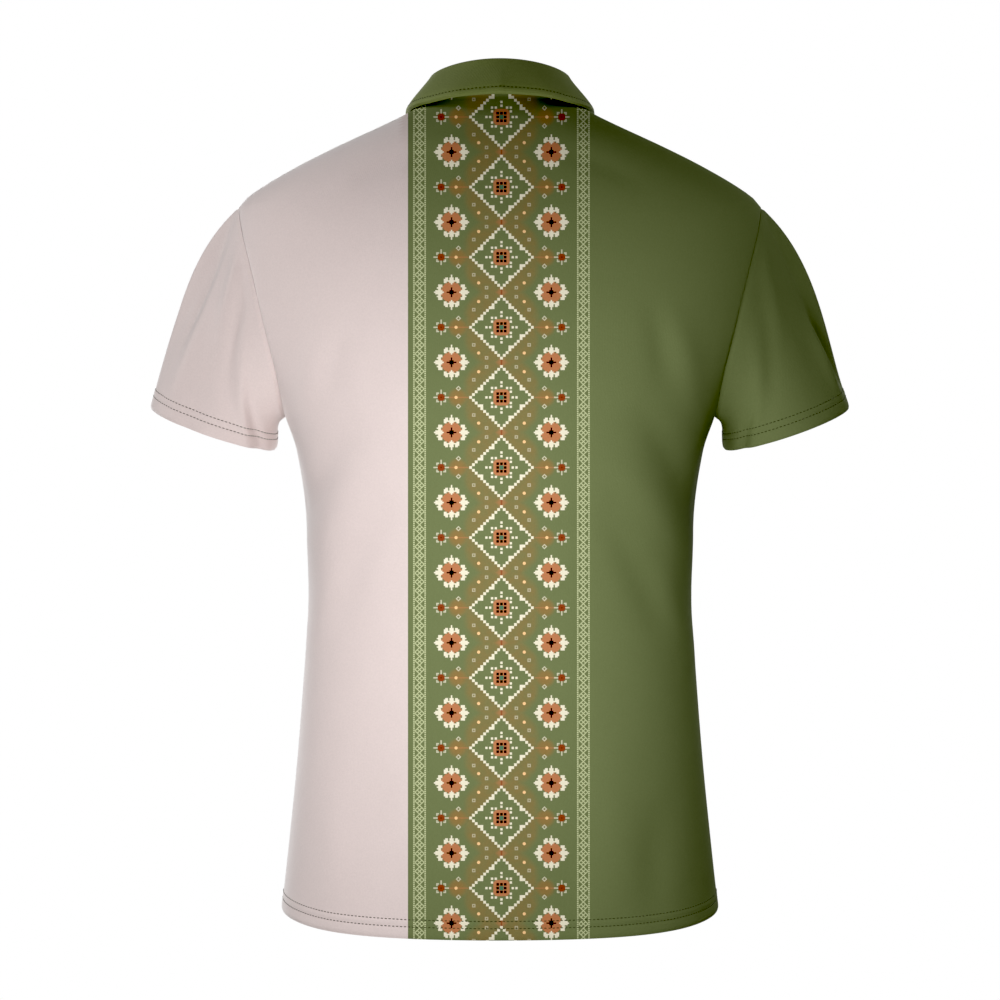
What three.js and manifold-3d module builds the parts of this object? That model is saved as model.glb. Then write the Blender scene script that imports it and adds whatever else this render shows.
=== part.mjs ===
// A short-sleeved zip polo shirt, filled out as it is when worn, standing open at the neck, the hem and
// both cuffs. Millimetres, +Z up, the front faces -Y. The origin is the middle of the neck, level with the
// two points where the shoulder seams meet the collar. Left and right are the wearer's.
import * as THREE from 'three';
import { mergeVertices } from 'three/addons/utils/BufferGeometryUtils.js';
import Module from 'manifold-3d';

const wasm = await Module();
wasm.setup();

// Cloth and seams
const CLOTH = 1.6;
const COLLAR_CLOTH = 2.4;
const SEAM_GAP = 0.3;
const PANEL_SHAPE = 2.2;

// Neck, shoulders and armholes
const NECK_HALF_WIDTH = 72;
const BACK_NECK_RISE = 1.5;
const FRONT_NECK_DROP = 75;
const SHOULDER_TIP_Z = -86.6;
const ARMPIT_Z = -270;
const SHOULDER_ROUND = 26;
const ARMHOLE_DEPTH_LOW = 62;
const ARMHOLE_DEPTH_TOP = 38;

// The closed trunk below the armpits, hem first: half width, back depth and front depth at each height
const TRUNK = [
  { z: -704, half: 191, back: 122, front: 122 },
  { z: -640, half: 184, back: 119, front: 120 },
  { z: -570, half: 177, back: 115, front: 118 },
  { z: -500, half: 171.5, back: 110, front: 117 },
  { z: -430, half: 167, back: 107, front: 117 },
  { z: -360, half: 169, back: 111, front: 119 },
  { z: -300, half: 177, back: 118, front: 121 },
  { z: ARMPIT_Z, half: 187, back: 121, front: 121 },
];
const HEM_SIDE_RISE = 7;

// Depth of the back panel at the middle, from the armpits up to the neck
const BACK_DEPTH = [
  { z: ARMPIT_Z, y: 121 },
  { z: -240, y: 122.5 },
  { z: -200, y: 121.5 },
  { z: -150, y: 117 },
  { z: -110, y: 110 },
  { z: -70, y: 99 },
  { z: -40, y: 88 },
  { z: -20, y: 78 },
  { z: -4, y: 68 },
  { z: 0, y: 66 },
];

// Depth of the front panel at the middle
const FRONT_DEPTH = [
  { z: ARMPIT_Z, y: 121 },
  { z: -240, y: 119 },
  { z: -200, y: 115 },
  { z: -150, y: 104 },
  { z: -110, y: 90 },
  { z: -75, y: 72 },
  { z: -58, y: 60 },
  { z: -38, y: 45 },
  { z: -17.5, y: 28 },
  { z: 0, y: 12 },
];

// Half width of the shirt along the armhole seam and then along the shoulder seam
const ARMHOLE = [
  { z: ARMPIT_Z, x: 187 },
  { z: -240, x: 191 },
  { z: -200, x: 200 },
  { z: -150, x: 212 },
  { z: -110, x: 223 },
  { z: SHOULDER_TIP_Z, x: 228.4 },
];
const SHOULDER = [
  { z: SHOULDER_TIP_Z, x: 228.4 },
  { z: -79.6, x: 223 },
  { z: -70.9, x: 210.9 },
  { z: -53.4, x: 179.4 },
  { z: -35.9, x: 143.5 },
  { z: -14.9, x: 98 },
  { z: -7.9, x: 84 },
  { z: 0, x: NECK_HALF_WIDTH },
];

// Sleeves, given for the wearer's left
const CUFF_CENTRE = new THREE.Vector3(253, -20, -278.3);
const CUFF_HALF_WIDTH = 57.8;
const CUFF_HALF_DEPTH = 55.5;
const CUFF_TILT = 19.4;
const CUFF_FORWARD = 8;

// Collar
const FOLD_HALF_WIDTH = 58.5;
const FOLD_BACK_Y = 56;
const FOLD_FRONT_Y = 60;
const FOLD_TOP_Z = 33.2;
const FOLD_ARCH = 6;
const FOLD_FRONT_Z = -50;
const FOLD_RADIUS = 3.6;
const FOLD_SEAM_GAP = 0.55;
const STAND_SEAM_GAP = 0.4;
const COLLAR_END = 172;
const FOLD_DROP_START = 76;
const FOLD_TURN = 150;
const STAND_BOW = 1.2;

// Lower edge of the leaf, from the middle of the back round to the tip beside the zip
const LEAF_EDGE = [
  { at: 0, x: 0, y: 80, z: 2.4 },
  { at: 25, x: 36, y: 73, z: 0.6 },
  { at: 50, x: 64.5, y: 53, z: -2.4 },
  { at: 72, x: 79.5, y: 25, z: -2.8 },
  { at: 90, x: 83.5, y: 0, z: -3.2 },
  { at: 110, x: 84.5, y: -27, z: -17 },
  { at: 130, x: 78, y: -51, z: -42 },
  { at: 150, x: 63, y: -75, z: -72 },
  { at: COLLAR_END, x: 42, y: -92, z: -101 },
];

// Zip
const SLIT_HALF = 4.5;
const SLIT_BOTTOM_Z = -228;
const TAPE_INNER_X = 1.3;
const TAPE_OUTER_X = 14;
const TAPE_THICK = 1;
const TAPE_DEPTH = CLOTH + SEAM_GAP;
const TAPE_TOP_Z = -78;
const TAPE_BOTTOM_Z = -236;
const TAPE_ROWS = 14;
const TAPE_COLS = 3;
const PROBE = 0.5;
const SLIDER_Z = -86;
const SLIDER_LENGTH = 9;
const SLIDER_WIDTH = 8;
const SLIDER_PLATE = 1.3;
const SLIDER_CORE_SHORT = 3;
const BRIDGE_WIDTH = 1.6;
const BRIDGE_HEIGHT = 3.6;
const BRIDGE_LENGTH = 7;
const BRIDGE_SLOPE = 0.9;
const BRIDGE_HOLE_HALF = 1.7;
const BRIDGE_HOLE_LOW = 0.55;
const BRIDGE_HOLE_HIGH = 2.75;
const BRIDGE_SINK = 0.1;
const PLATE_TOP = 0.2;
const CORE_HALF = 0.8;
const HINGE_OUT = PLATE_TOP + 1.75;
const TAB_WIDTH = 7;
const TAB_LENGTH = 26;
const TAB_THICK = 1.4;
const TAB_BAR = 1.3;
const TAB_ARM_GAP = 0.5;
const TAB_ARM_WIDTH = 1.2;
const TAB_ARM_LENGTH = 7.2;
const TAB_NECK_Y = -5.2;
const TAB_SHOULDER_Y = -9;
const TAB_EYE = 1.5;
const STOP_WIDTH = 6;
const STOP_LENGTH = 3;
const STOP_PLATE = 1;
const STOP_CORE = 1.8;
const STOP_ABOVE_SLIT = 4.5;

const PALE = 0xdccfcc;
const GREEN = 0x697244;
const COLLAR_GREEN = 0x545d2e;
const ZIP_TAPE = 0x4b5330;
const METAL = 0x8d8b84;

const rad = THREE.MathUtils.degToRad;
const vec = (x, y, z) => new THREE.Vector3(x, y, z);

// Smooth reading of a table column: a monotone cubic through the rows
function column(rows, key, name) {
  const xs = rows.map((row) => row[key]);
  const ys = rows.map((row) => row[name]);
  const slopes = xs.map((_, i) => {
    if (i === 0 || i === xs.length - 1) {
      const j = i === 0 ? 0 : i - 1;
      return (ys[j + 1] - ys[j]) / (xs[j + 1] - xs[j]);
    }
    const before = (ys[i] - ys[i - 1]) / (xs[i] - xs[i - 1]);
    const after = (ys[i + 1] - ys[i]) / (xs[i + 1] - xs[i]);
    return before * after <= 0 ? 0 : 2 * before * after / (before + after);
  });
  return (x) => {
    let i = 0;
    while (i < xs.length - 2 && x > xs[i + 1]) i += 1;
    const width = xs[i + 1] - xs[i];
    const t = THREE.MathUtils.clamp((x - xs[i]) / width, 0, 1);
    const a = (1 + 2 * t) * (1 - t) ** 2;
    const b = t * (1 - t) ** 2;
    const c = t * t * (3 - 2 * t);
    const d = t * t * (t - 1);
    return a * ys[i] + b * width * slopes[i] + c * ys[i + 1] + d * width * slopes[i + 1];
  };
}

const trunkHalf = column(TRUNK, 'z', 'half');
const trunkDepth = { back: column(TRUNK, 'z', 'back'), front: column(TRUNK, 'z', 'front') };
const chestDepth = { back: column(BACK_DEPTH, 'z', 'y'), front: column(FRONT_DEPTH, 'z', 'y') };
const armholeX = column(ARMHOLE, 'z', 'x');
const shoulderX = column(SHOULDER, 'z', 'x');
const sideSign = { back: 1, front: -1 };

// A point of the armhole seam: 0 at the armpit, 1 at the shoulder tip, on the back or the front panel
function armholePoint(t, side) {
  const middle = (ARMPIT_Z + SHOULDER_TIP_Z) / 2;
  const z = middle + (ARMPIT_Z - middle) * Math.cos(Math.PI * t);
  const depth = THREE.MathUtils.lerp(ARMHOLE_DEPTH_LOW, ARMHOLE_DEPTH_TOP, t * t);
  return vec(armholeX(z), sideSign[side] * depth * Math.sin(Math.PI * t), z);
}

function armholeDepthAt(z) {
  const middle = (ARMPIT_Z + SHOULDER_TIP_Z) / 2;
  const t = Math.acos(THREE.MathUtils.clamp((z - middle) / (ARMPIT_Z - middle), -1, 1)) / Math.PI;
  return Math.abs(armholePoint(t, 'back').y);
}

// One level slice of a panel is half of a squared ellipse. This gives its half width and depth.
function slice(z, side) {
  if (z <= ARMPIT_Z) return { half: trunkHalf(z), depth: trunkDepth[side](z), edge: 1 };
  const depth = chestDepth[side](z);
  if (z >= SHOULDER_TIP_Z) return { half: shoulderX(z), depth, edge: 1 };
  const reach = (1 - (armholeDepthAt(z) / depth) ** PANEL_SHAPE) ** (1 / PANEL_SHAPE);
  return { half: armholeX(z) / reach, depth, edge: reach };
}

const angleOf = (share) => Math.asin(Math.min(1, share) ** (PANEL_SHAPE / 2));
const edgeAngle = (z, side) => angleOf(slice(z, side).edge);

// Away from its side edge a panel carries the corner at the shoulder tip as a soft round
function softHalf(z, side) {
  const steps = [-2, -1, 0, 1, 2];
  const heights = steps.map((step) => Math.min(z + step * SHOULDER_ROUND / 2, 0));
  return heights.reduce((sum, height) => sum + slice(height, side).half, 0) / steps.length;
}

// The outer face of a panel at an angle from its middle and a height
function panelPoint(angle, z, side) {
  const { half: sharp, depth, edge } = slice(z, side);
  const near = THREE.MathUtils.clamp(Math.abs(angle) / angleOf(edge), 0, 1) ** 4;
  const roundTop = SHOULDER_TIP_Z + SHOULDER_ROUND;
  const rounding = THREE.MathUtils.smoothstep(z, ARMPIT_Z, SHOULDER_TIP_Z - SHOULDER_ROUND)
    * (1 - THREE.MathUtils.smoothstep(z, roundTop, roundTop + SHOULDER_ROUND));
  const half = THREE.MathUtils.lerp(sharp, softHalf(z, side), rounding * (1 - near));
  const across = Math.min(1, Math.abs(Math.sin(angle))) ** (2 / PANEL_SHAPE);
  const out = Math.max(0, Math.cos(angle)) ** (2 / PANEL_SHAPE);
  const y = sideSign[side] * (depth * out + SEAM_GAP / 2);
  return vec(Math.sign(angle) * half * across, y, z);
}

// Neckline of a panel in (angle, height): u runs from the middle to the shoulder point
function neckline(u, side) {
  const turn = u * Math.PI / 2;
  const x = NECK_HALF_WIDTH * Math.sin(turn);
  const z = side === 'back'
    ? BACK_NECK_RISE * (1 - (x / NECK_HALF_WIDTH) ** 4)
    : -FRONT_NECK_DROP * Math.cos(turn);
  return { angle: u === 1 ? Math.PI / 2 : angleOf(x / slice(z, side).half), z };
}

// The outward direction at each point of a grid. flatY names the points that keep to their level slice.
function wallNormals(grid, options) {
  const { wrap = false, flip = false, flatY = () => false } = options;
  const rows = grid.length;
  const cols = grid[0].length;
  const at = (r, c) => grid[r][wrap ? (c + cols) % cols : c];
  return grid.map((row, r) => row.map((point, c) => {
    const left = wrap || c > 0 ? at(r, c - 1) : point;
    const right = wrap || c < cols - 1 ? at(r, c + 1) : point;
    const below = r > 0 ? at(r - 1, c) : point;
    const above = r < rows - 1 ? at(r + 1, c) : point;
    const normal = right.clone().sub(left).cross(above.clone().sub(below));
    if (flip) normal.negate();
    if (flatY(r, c)) normal.y = 0;
    return normal.normalize();
  }));
}

// A closed cloth wall over a grid of outer points. Quads that keep() refuses are left out, and every free
// edge gets a rim. With wrap, the columns close on themselves.
function wall(name, grid, thickness, options = {}) {
  const { wrap = false, keep = () => true, flip = false } = options;
  const rows = grid.length;
  const cols = grid[0].length;
  const normals = options.normals ?? wallNormals(grid, options);
  const inner = grid.map((row, r) => row.map((p, c) => p.clone().addScaledVector(normals[r][c], -thickness)));
  const positions = [];
  const index = [];
  for (const sheet of [grid, inner]) {
    for (const row of sheet) for (const point of row) positions.push(point.x, point.y, point.z);
  }
  const id = (sheet, r, c) => (sheet * rows + r) * cols + (wrap ? (c + cols) % cols : c);
  const quad = (a, b, c, d) => {
    if (flip) index.push(a, d, c, a, c, b);
    else index.push(a, b, c, a, c, d);
  };
  const lastCol = wrap ? cols : cols - 1;
  const kept = (r, c) => {
    if (r < 0 || r >= rows - 1) return false;
    if (!wrap && (c < 0 || c >= lastCol)) return false;
    return keep(r, (c + cols) % cols);
  };
  for (let r = 0; r < rows - 1; r += 1) {
    for (let c = 0; c < lastCol; c += 1) {
      if (!kept(r, c)) continue;
      quad(id(0, r, c), id(0, r, c + 1), id(0, r + 1, c + 1), id(0, r + 1, c));
      quad(id(1, r, c), id(1, r + 1, c), id(1, r + 1, c + 1), id(1, r, c + 1));
      if (!kept(r - 1, c)) quad(id(0, r, c), id(1, r, c), id(1, r, c + 1), id(0, r, c + 1));
      if (!kept(r + 1, c)) {
        quad(id(0, r + 1, c + 1), id(1, r + 1, c + 1), id(1, r + 1, c), id(0, r + 1, c));
      }
      if (!kept(r, c - 1)) quad(id(0, r + 1, c), id(1, r + 1, c), id(1, r, c), id(0, r, c));
      if (!kept(r, c + 1)) {
        quad(id(0, r, c + 1), id(1, r, c + 1), id(1, r + 1, c + 1), id(0, r + 1, c + 1));
      }
    }
  }
  return finishMesh(name, positions, index);
}

// Drops points that no face uses and makes the mesh
function finishMesh(name, positions, index, material = null) {
  const place = new Map();
  const used = [];
  const faces = index.map((i) => {
    if (!place.has(i)) {
      place.set(i, used.length / 3);
      used.push(positions[3 * i], positions[3 * i + 1], positions[3 * i + 2]);
    }
    return place.get(i);
  });
  const geometry = new THREE.BufferGeometry();
  geometry.setAttribute('position', new THREE.Float32BufferAttribute(used, 3));
  geometry.setIndex(faces);
  geometry.computeVertexNormals();
  const mesh = new THREE.Mesh(geometry, material ?? cloth(GREEN));
  mesh.name = name;
  return mesh;
}

function cloth(color) {
  return new THREE.MeshStandardMaterial({ color, roughness: 0.85, metalness: 0 });
}

function metal() {
  return new THREE.MeshStandardMaterial({ color: METAL, roughness: 0.35, metalness: 1 });
}

// Columns across a panel run from -1 to 1, and the rows of the trunk from the hem to the armpits
const PANEL_COLS = 12;
const TRUNK_ROWS = [-704, -684, -650, -610, -570, -530, -490, -450, -410, -370, -335, -300, ARMPIT_Z];
const ARMHOLE_STEPS = 12;
const SLIT_ROW = 3;
const SHOULDER_STEPS = 6;
const CHEST_ROWS = ARMHOLE_STEPS + SHOULDER_STEPS;

// Height of the middle and of the side edge of a panel on each chest row
const CENTRE_ROWS = {
  back: (k) => THREE.MathUtils.lerp(ARMPIT_Z, BACK_NECK_RISE, k / CHEST_ROWS),
  front: (k) => {
    if (k <= SLIT_ROW) return THREE.MathUtils.lerp(ARMPIT_Z, SLIT_BOTTOM_Z, k / SLIT_ROW);
    return THREE.MathUtils.lerp(SLIT_BOTTOM_Z, -FRONT_NECK_DROP, (k - SLIT_ROW) / (CHEST_ROWS - SLIT_ROW));
  },
};

// Height of the armhole or shoulder seam on a chest row. On the shoulder it is found by halving.
const HALVINGS = 40;

function edgeHeight(k) {
  if (k <= ARMHOLE_STEPS) return armholePoint(k / ARMHOLE_STEPS, 'back').z;
  const share = (k - ARMHOLE_STEPS) / SHOULDER_STEPS;
  const x = THREE.MathUtils.lerp(armholeX(SHOULDER_TIP_Z), NECK_HALF_WIDTH, share);
  let low = SHOULDER_TIP_Z;
  let high = 0;
  for (let i = 0; i < HALVINGS; i += 1) {
    const middle = (low + high) / 2;
    if (shoulderX(middle) > x) low = middle;
    else high = middle;
  }
  return k === CHEST_ROWS ? 0 : (low + high) / 2;
}

// A chest row point for u from 0 (middle) to 1 (edge): the four borders blended in angle and height
function chestCoordinates(u, k, side) {
  const s = k / CHEST_ROWS;
  const top = neckline(u, side);
  const topEdge = neckline(1, side);
  const edgeZ = edgeHeight(k);
  const edge = edgeAngle(edgeZ, side);
  const right = Math.PI / 2;
  const centreZ = CENTRE_ROWS[side](k);
  const angle = (1 - s) * u * right + s * top.angle + u * edge
    - (1 - s) * u * right - s * u * topEdge.angle;
  const topCentre = neckline(0, side).z;
  const corners = (1 - s) * ARMPIT_Z + s * ((1 - u) * topCentre + u * topEdge.z);
  const z = (1 - s) * ARMPIT_Z + s * top.z + (1 - u) * centreZ + u * edgeZ - corners;
  return { angle: u === 0 ? 0 : angle, z, edge };
}

// Hem: a little higher at the sides than in the middle
function hemHeight(angle) {
  return TRUNK[0].z + HEM_SIDE_RISE * Math.sin(angle) ** 6;
}

function panelGrid(side) {
  const slit = side === 'front';
  const steps = [];
  for (let i = -PANEL_COLS; i <= PANEL_COLS; i += 1) steps.push(i);
  const share = (i) => {
    const n = Math.abs(i);
    if (!slit) return n / PANEL_COLS;
    return n <= 1 ? 0 : (n - 1) / (PANEL_COLS - 1);
  };
  const place = (i, angle, z, edge) => {
    if (!slit || i === 0) return panelPoint(Math.sign(i) * angle, z, side);
    const shift = angleOf(SLIT_HALF / slice(z, side).half);
    return panelPoint(Math.sign(i) * (shift + angle * (1 - shift / edge)), z, side);
  };
  const grid = [];
  for (const z of TRUNK_ROWS.slice(0, -1)) {
    grid.push(steps.map((i) => {
      const angle = share(i) * Math.PI / 2;
      const height = z === TRUNK[0].z ? hemHeight(angle) : z;
      return place(i, angle, height, Math.PI / 2);
    }));
  }
  for (let k = 0; k <= CHEST_ROWS; k += 1) {
    grid.push(steps.map((i) => {
      const { angle, z, edge } = chestCoordinates(share(i), k, side);
      return place(i, angle, z, edge);
    }));
  }
  return grid;
}

const CHEST_START = TRUNK_ROWS.length - 1;

function panelOptions(side) {
  const slitRow = CHEST_START + SLIT_ROW;
  const besideSlit = (r, c) => r >= slitRow && (c === PANEL_COLS - 1 || c === PANEL_COLS);
  return {
    flip: side === 'back',
    flatY: (r, c) => {
      const edge = c === 0 || c === 2 * PANEL_COLS;
      return edge && (r <= CHEST_START || r >= CHEST_START + ARMHOLE_STEPS);
    },
    keep: (r, c) => side === 'back' || !besideSlit(r, c),
  };
}

const grids = { back: panelGrid('back'), front: panelGrid('front') };
const panelNormals = {
  back: wallNormals(grids.back, panelOptions('back')),
  front: wallNormals(grids.front, panelOptions('front')),
};

function panel(side, color) {
  const mesh = wall(side, grids[side], CLOTH, { ...panelOptions(side), normals: panelNormals[side] });
  mesh.material = cloth(color);
  return mesh;
}

// Sleeves. Columns go round from the shoulder tip over the back to the armpit and back up the front.
const SLEEVE_COLS = 2 * ARMHOLE_STEPS;
const SEAM_TWIST_ROOM = 0.25;

// Sleeve form: its way out of the armpit, the shares of seam direction and straight line where it begins,
// the hollow of the underarm, and the length of the curve's pull at the seam and at the cuff
const ARMPIT_LEAVE = vec(0.25, 0, 1);
const UNDERARM_OUT = vec(1, 0, -0.25);
const SEAM_SHARE = 0.35;
const STRAIGHT_SHARE = 0.65;
const SEAM_PULL = 0.36;
const CUFF_PULL = 0.34;
const SLEEVE_ROWS = [0, 0.05, 0.12, 0.22, 0.34, 0.46, 0.58, 0.7, 0.81, 0.91, 1];

// The seam point of the trunk at a sleeve column, its outward direction and the way out of the panel
function seamAt(c) {
  const half = SLEEVE_COLS / 2;
  const sides = c === 0 || c === half ? ['back', 'front'] : [c < half ? 'back' : 'front'];
  const k = c <= half ? half - c : c - half;
  const point = vec(0, 0, 0);
  const normal = vec(0, 0, 0);
  const out = vec(0, 0, 0);
  for (const side of sides) {
    const row = grids[side][CHEST_START + k];
    const edge = row[2 * PANEL_COLS];
    point.addScaledVector(edge, 1 / sides.length);
    normal.add(panelNormals[side][CHEST_START + k][2 * PANEL_COLS]);
    out.add(edge.clone().sub(row[2 * PANEL_COLS - 1]).normalize());
    if (sides.length === 1) {
      const above = grids[side][CHEST_START + k + 1][2 * PANEL_COLS];
      const below = grids[side][CHEST_START + k - 1][2 * PANEL_COLS];
      const along = above.clone().sub(below).normalize();
      out.addScaledVector(along, -out.dot(along));
    }
  }
  return { point, normal: normal.normalize(), out: out.normalize() };
}

function sleeveGrid() {
  const tilt = rad(CUFF_TILT);
  const forward = rad(CUFF_FORWARD);
  const across = vec(Math.cos(tilt), 0, Math.sin(tilt));
  const down = vec(Math.sin(tilt), 0, -Math.cos(tilt));
  const axis = down.clone().multiplyScalar(Math.cos(forward)).add(vec(0, -Math.sin(forward), 0));
  const depth = vec(0, Math.cos(forward), 0).addScaledVector(down, Math.sin(forward));
  const seams = [];
  for (let c = 0; c < SLEEVE_COLS; c += 1) {
    const turn = c / SLEEVE_COLS * 2 * Math.PI;
    const { point, out } = seamAt(c);
    const low = (1 - Math.cos(turn)) / 2;
    const leave = out.clone().multiplyScalar(1 - low).addScaledVector(ARMPIT_LEAVE, low).normalize();
    const gap = SEAM_GAP + SEAM_TWIST_ROOM * (1 - low) ** 4;
    const start = point.clone().addScaledVector(leave, gap);
    const end = CUFF_CENTRE.clone()
      .addScaledVector(across, CUFF_HALF_WIDTH * Math.cos(turn))
      .addScaledVector(depth, CUFF_HALF_DEPTH * Math.sin(turn));
    const chord = end.clone().sub(start);
    const reach = chord.length();
    const first = out.clone().multiplyScalar(SEAM_SHARE * (1 - low))
      .addScaledVector(chord.clone().normalize(), STRAIGHT_SHARE * (1 - low ** 2))
      .addScaledVector(UNDERARM_OUT, low ** 2)
      .normalize()
      .multiplyScalar(reach * SEAM_PULL);
    const last = axis.clone().multiplyScalar(reach * CUFF_PULL);
    seams.push(new THREE.CubicBezierCurve3(start, start.clone().add(first), end.clone().sub(last), end));
  }
  return SLEEVE_ROWS.map((v) => seams.map((curve) => curve.getPoint(v)));
}

function sleeve(name, color, mirror) {
  const grid = sleeveGrid();
  const normals = wallNormals(grid, { wrap: true, flip: true });
  normals[0] = normals[0].map((_, c) => seamAt(c).normal);
  const turned = (rows) => rows.map((row) => row.map((p) => vec(mirror ? -p.x : p.x, p.y, p.z)));
  const mesh = wall(name, turned(grid), CLOTH, { wrap: true, flip: !mirror, normals: turned(normals) });
  mesh.material = cloth(color);
  return mesh;
}

// Collar. The angle runs from 0 at the middle of the back to COLLAR_END beside the zip.
const leafEdge = {
  x: column(LEAF_EDGE, 'at', 'x'),
  y: column(LEAF_EDGE, 'at', 'y'),
  z: column(LEAF_EDGE, 'at', 'z'),
};

function neckSeam(angle) {
  const side = angle <= 90 ? 'back' : 'front';
  const u = angle <= 90 ? angle / 90 : (180 - angle) / 90;
  const { angle: turn, z } = neckline(u, side);
  return panelPoint(turn, z, side);
}

function foldTop(angle) {
  const turn = rad(angle);
  const depth = angle <= 90 ? FOLD_BACK_Y : FOLD_FRONT_Y;
  const share = THREE.MathUtils.clamp((angle - FOLD_DROP_START) / (180 - FOLD_DROP_START), 0, 1);
  const drop = Math.sin(share * Math.PI / 2) ** 2;
  const high = FOLD_TOP_Z - FOLD_ARCH * Math.sin(rad(Math.min(angle, 90))) ** 2;
  const z = THREE.MathUtils.lerp(high, FOLD_FRONT_Z, drop);
  return vec(FOLD_HALF_WIDTH * Math.sin(turn), depth * Math.cos(turn), z);
}

// One column of the collar, as its visible face: up the inside of the neck, over the fold, down outside
const COLLAR_COLS = 17;
const STAND_ROWS = 5;
const FOLD_STEPS = 6;
const LEAF_ROWS = 6;

// How the leaf leaves the fold, turns in at its edge and how long the curve holds each direction
const LEAF_LEAVE = { out: 0.55, down: 0.83 };
const LEAF_TUCK = 0.25;
const LEAF_PULL = 0.3;

function collarColumn(angle, sign) {
  const seam = neckSeam(angle);
  const top = foldTop(angle);
  const edge = vec(leafEdge.x(angle), leafEdge.y(angle), leafEdge.z(angle));
  const turn = rad(angle);
  const along = foldTop(angle + 1).sub(foldTop(angle - 1)).normalize();
  const out = vec(Math.sin(turn) / FOLD_HALF_WIDTH, Math.cos(turn) / FOLD_BACK_Y, 0);
  out.addScaledVector(along, -out.dot(along)).normalize();
  const up = along.clone().cross(out).normalize();
  const centre = top.clone().addScaledVector(up, -FOLD_RADIUS);
  const foldStart = centre.clone().addScaledVector(out, -FOLD_RADIUS);
  const rise = foldStart.clone().addScaledVector(out, COLLAR_CLOTH).sub(seam).normalize();
  const face = out.clone().addScaledVector(rise, -out.dot(rise)).normalize();
  const foot = seam.clone().addScaledVector(rise, STAND_SEAM_GAP).addScaledVector(face, -COLLAR_CLOTH);
  const stand = [];
  const lean = foldStart.clone().sub(foot);
  for (let i = 0; i < STAND_ROWS; i += 1) {
    const t = i / (STAND_ROWS - 1);
    const point = foot.clone().addScaledVector(lean, t);
    point.addScaledVector(out, -STAND_BOW * Math.sin(Math.PI * t));
    stand.push(point);
  }
  const leaf = [];
  const begin = foldStart.clone().addScaledVector(up, FOLD_SEAM_GAP);
  leaf.push(begin);
  for (let i = 1; i <= FOLD_STEPS; i += 1) {
    const bend = i / FOLD_STEPS * rad(FOLD_TURN);
    leaf.push(centre.clone()
      .addScaledVector(out, -FOLD_RADIUS * Math.cos(bend))
      .addScaledVector(up, FOLD_SEAM_GAP + FOLD_RADIUS * Math.sin(bend)));
  }
  const fallFrom = leaf[leaf.length - 1];
  const reach = edge.distanceTo(fallFrom);
  const begins = out.clone().multiplyScalar(LEAF_LEAVE.out).addScaledVector(up, -LEAF_LEAVE.down);
  const ends = edge.clone().sub(fallFrom).normalize().addScaledVector(out, -LEAF_TUCK);
  const first = fallFrom.clone().addScaledVector(begins, reach * LEAF_PULL);
  const last = edge.clone().addScaledVector(ends, -reach * LEAF_PULL);
  const fall = new THREE.CubicBezierCurve3(fallFrom, first, last, edge);
  for (let i = 1; i <= LEAF_ROWS; i += 1) leaf.push(fall.getPoint(i / LEAF_ROWS));
  const mirror = (p) => vec(sign * p.x, p.y, p.z);
  return { stand: stand.map(mirror), leaf: leaf.map(mirror) };
}

function collar() {
  const angles = [];
  for (let i = -COLLAR_COLS; i <= COLLAR_COLS; i += 1) angles.push(i / COLLAR_COLS * COLLAR_END);
  const columns = angles.map((angle) => collarColumn(Math.abs(angle), angle < 0 ? -1 : 1));
  const rowsOf = (part) => columns[0][part].map((_, r) => columns.map((one) => one[part][r]));
  const standNormals = wallNormals(rowsOf('stand'), {});
  const leafNormals = wallNormals(rowsOf('leaf'), {});
  leafNormals[0] = standNormals[STAND_ROWS - 1];
  const stand = wall('collar_stand', rowsOf('stand'), COLLAR_CLOTH, { normals: standNormals });
  const leaf = wall('collar_leaf', rowsOf('leaf'), COLLAR_CLOTH, { normals: leafNormals });
  stand.material = cloth(COLLAR_GREEN);
  leaf.material = cloth(COLLAR_GREEN);
  return [stand, leaf];
}

// Zip. The front panel's outer face at a distance from the middle line, and a point behind it
function frontFace(x, z) {
  const angle = angleOf(Math.abs(x) / slice(z, 'front').half);
  return panelPoint(Math.sign(x) * angle, z, 'front');
}

function frontPoint(x, z, depth) {
  const rise = frontFace(x, z + PROBE).sub(frontFace(x, z - PROBE));
  const across = frontFace(x + PROBE, z).sub(frontFace(x - PROBE, z));
  const normal = across.cross(rise).normalize();
  return frontFace(x, z).addScaledVector(normal, -depth);
}

function zipTape(name, sign) {
  const grid = [];
  for (let r = 0; r <= TAPE_ROWS; r += 1) {
    const z = THREE.MathUtils.lerp(TAPE_BOTTOM_Z, TAPE_TOP_Z, r / TAPE_ROWS);
    const row = [];
    for (let c = 0; c <= TAPE_COLS; c += 1) {
      const x = THREE.MathUtils.lerp(TAPE_INNER_X, TAPE_OUTER_X, c / TAPE_COLS);
      row.push(frontPoint(sign * x, z, TAPE_DEPTH));
    }
    grid.push(row);
  }
  const mesh = wall(name, grid, TAPE_THICK, { flip: sign < 0 });
  mesh.material = cloth(ZIP_TAPE);
  return mesh;
}

// The place and directions of a zip part: x across, y up along the zip, z out of the shirt
function zipFrame(z) {
  const origin = frontPoint(0, z, 0);
  const up = frontPoint(0, z + PROBE, 0).sub(frontPoint(0, z - PROBE, 0)).normalize();
  const out = vec(1, 0, 0).cross(up).normalize();
  return new THREE.Matrix4().makeBasis(vec(1, 0, 0), up, out).setPosition(origin);
}

function solidOf(geometry) {
  const bare = geometry.clone();
  bare.deleteAttribute('normal');
  bare.deleteAttribute('uv');
  const merged = mergeVertices(bare, 1e-4);
  const triVerts = new Uint32Array(merged.index.array);
  const vertProperties = new Float32Array(merged.attributes.position.array);
  return new wasm.Manifold(new wasm.Mesh({ numProp: 3, vertProperties, triVerts }));
}

function boxAt(width, height, depth, x, y, z) {
  return new THREE.BoxGeometry(width, height, depth).translate(x, y, z);
}

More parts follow.
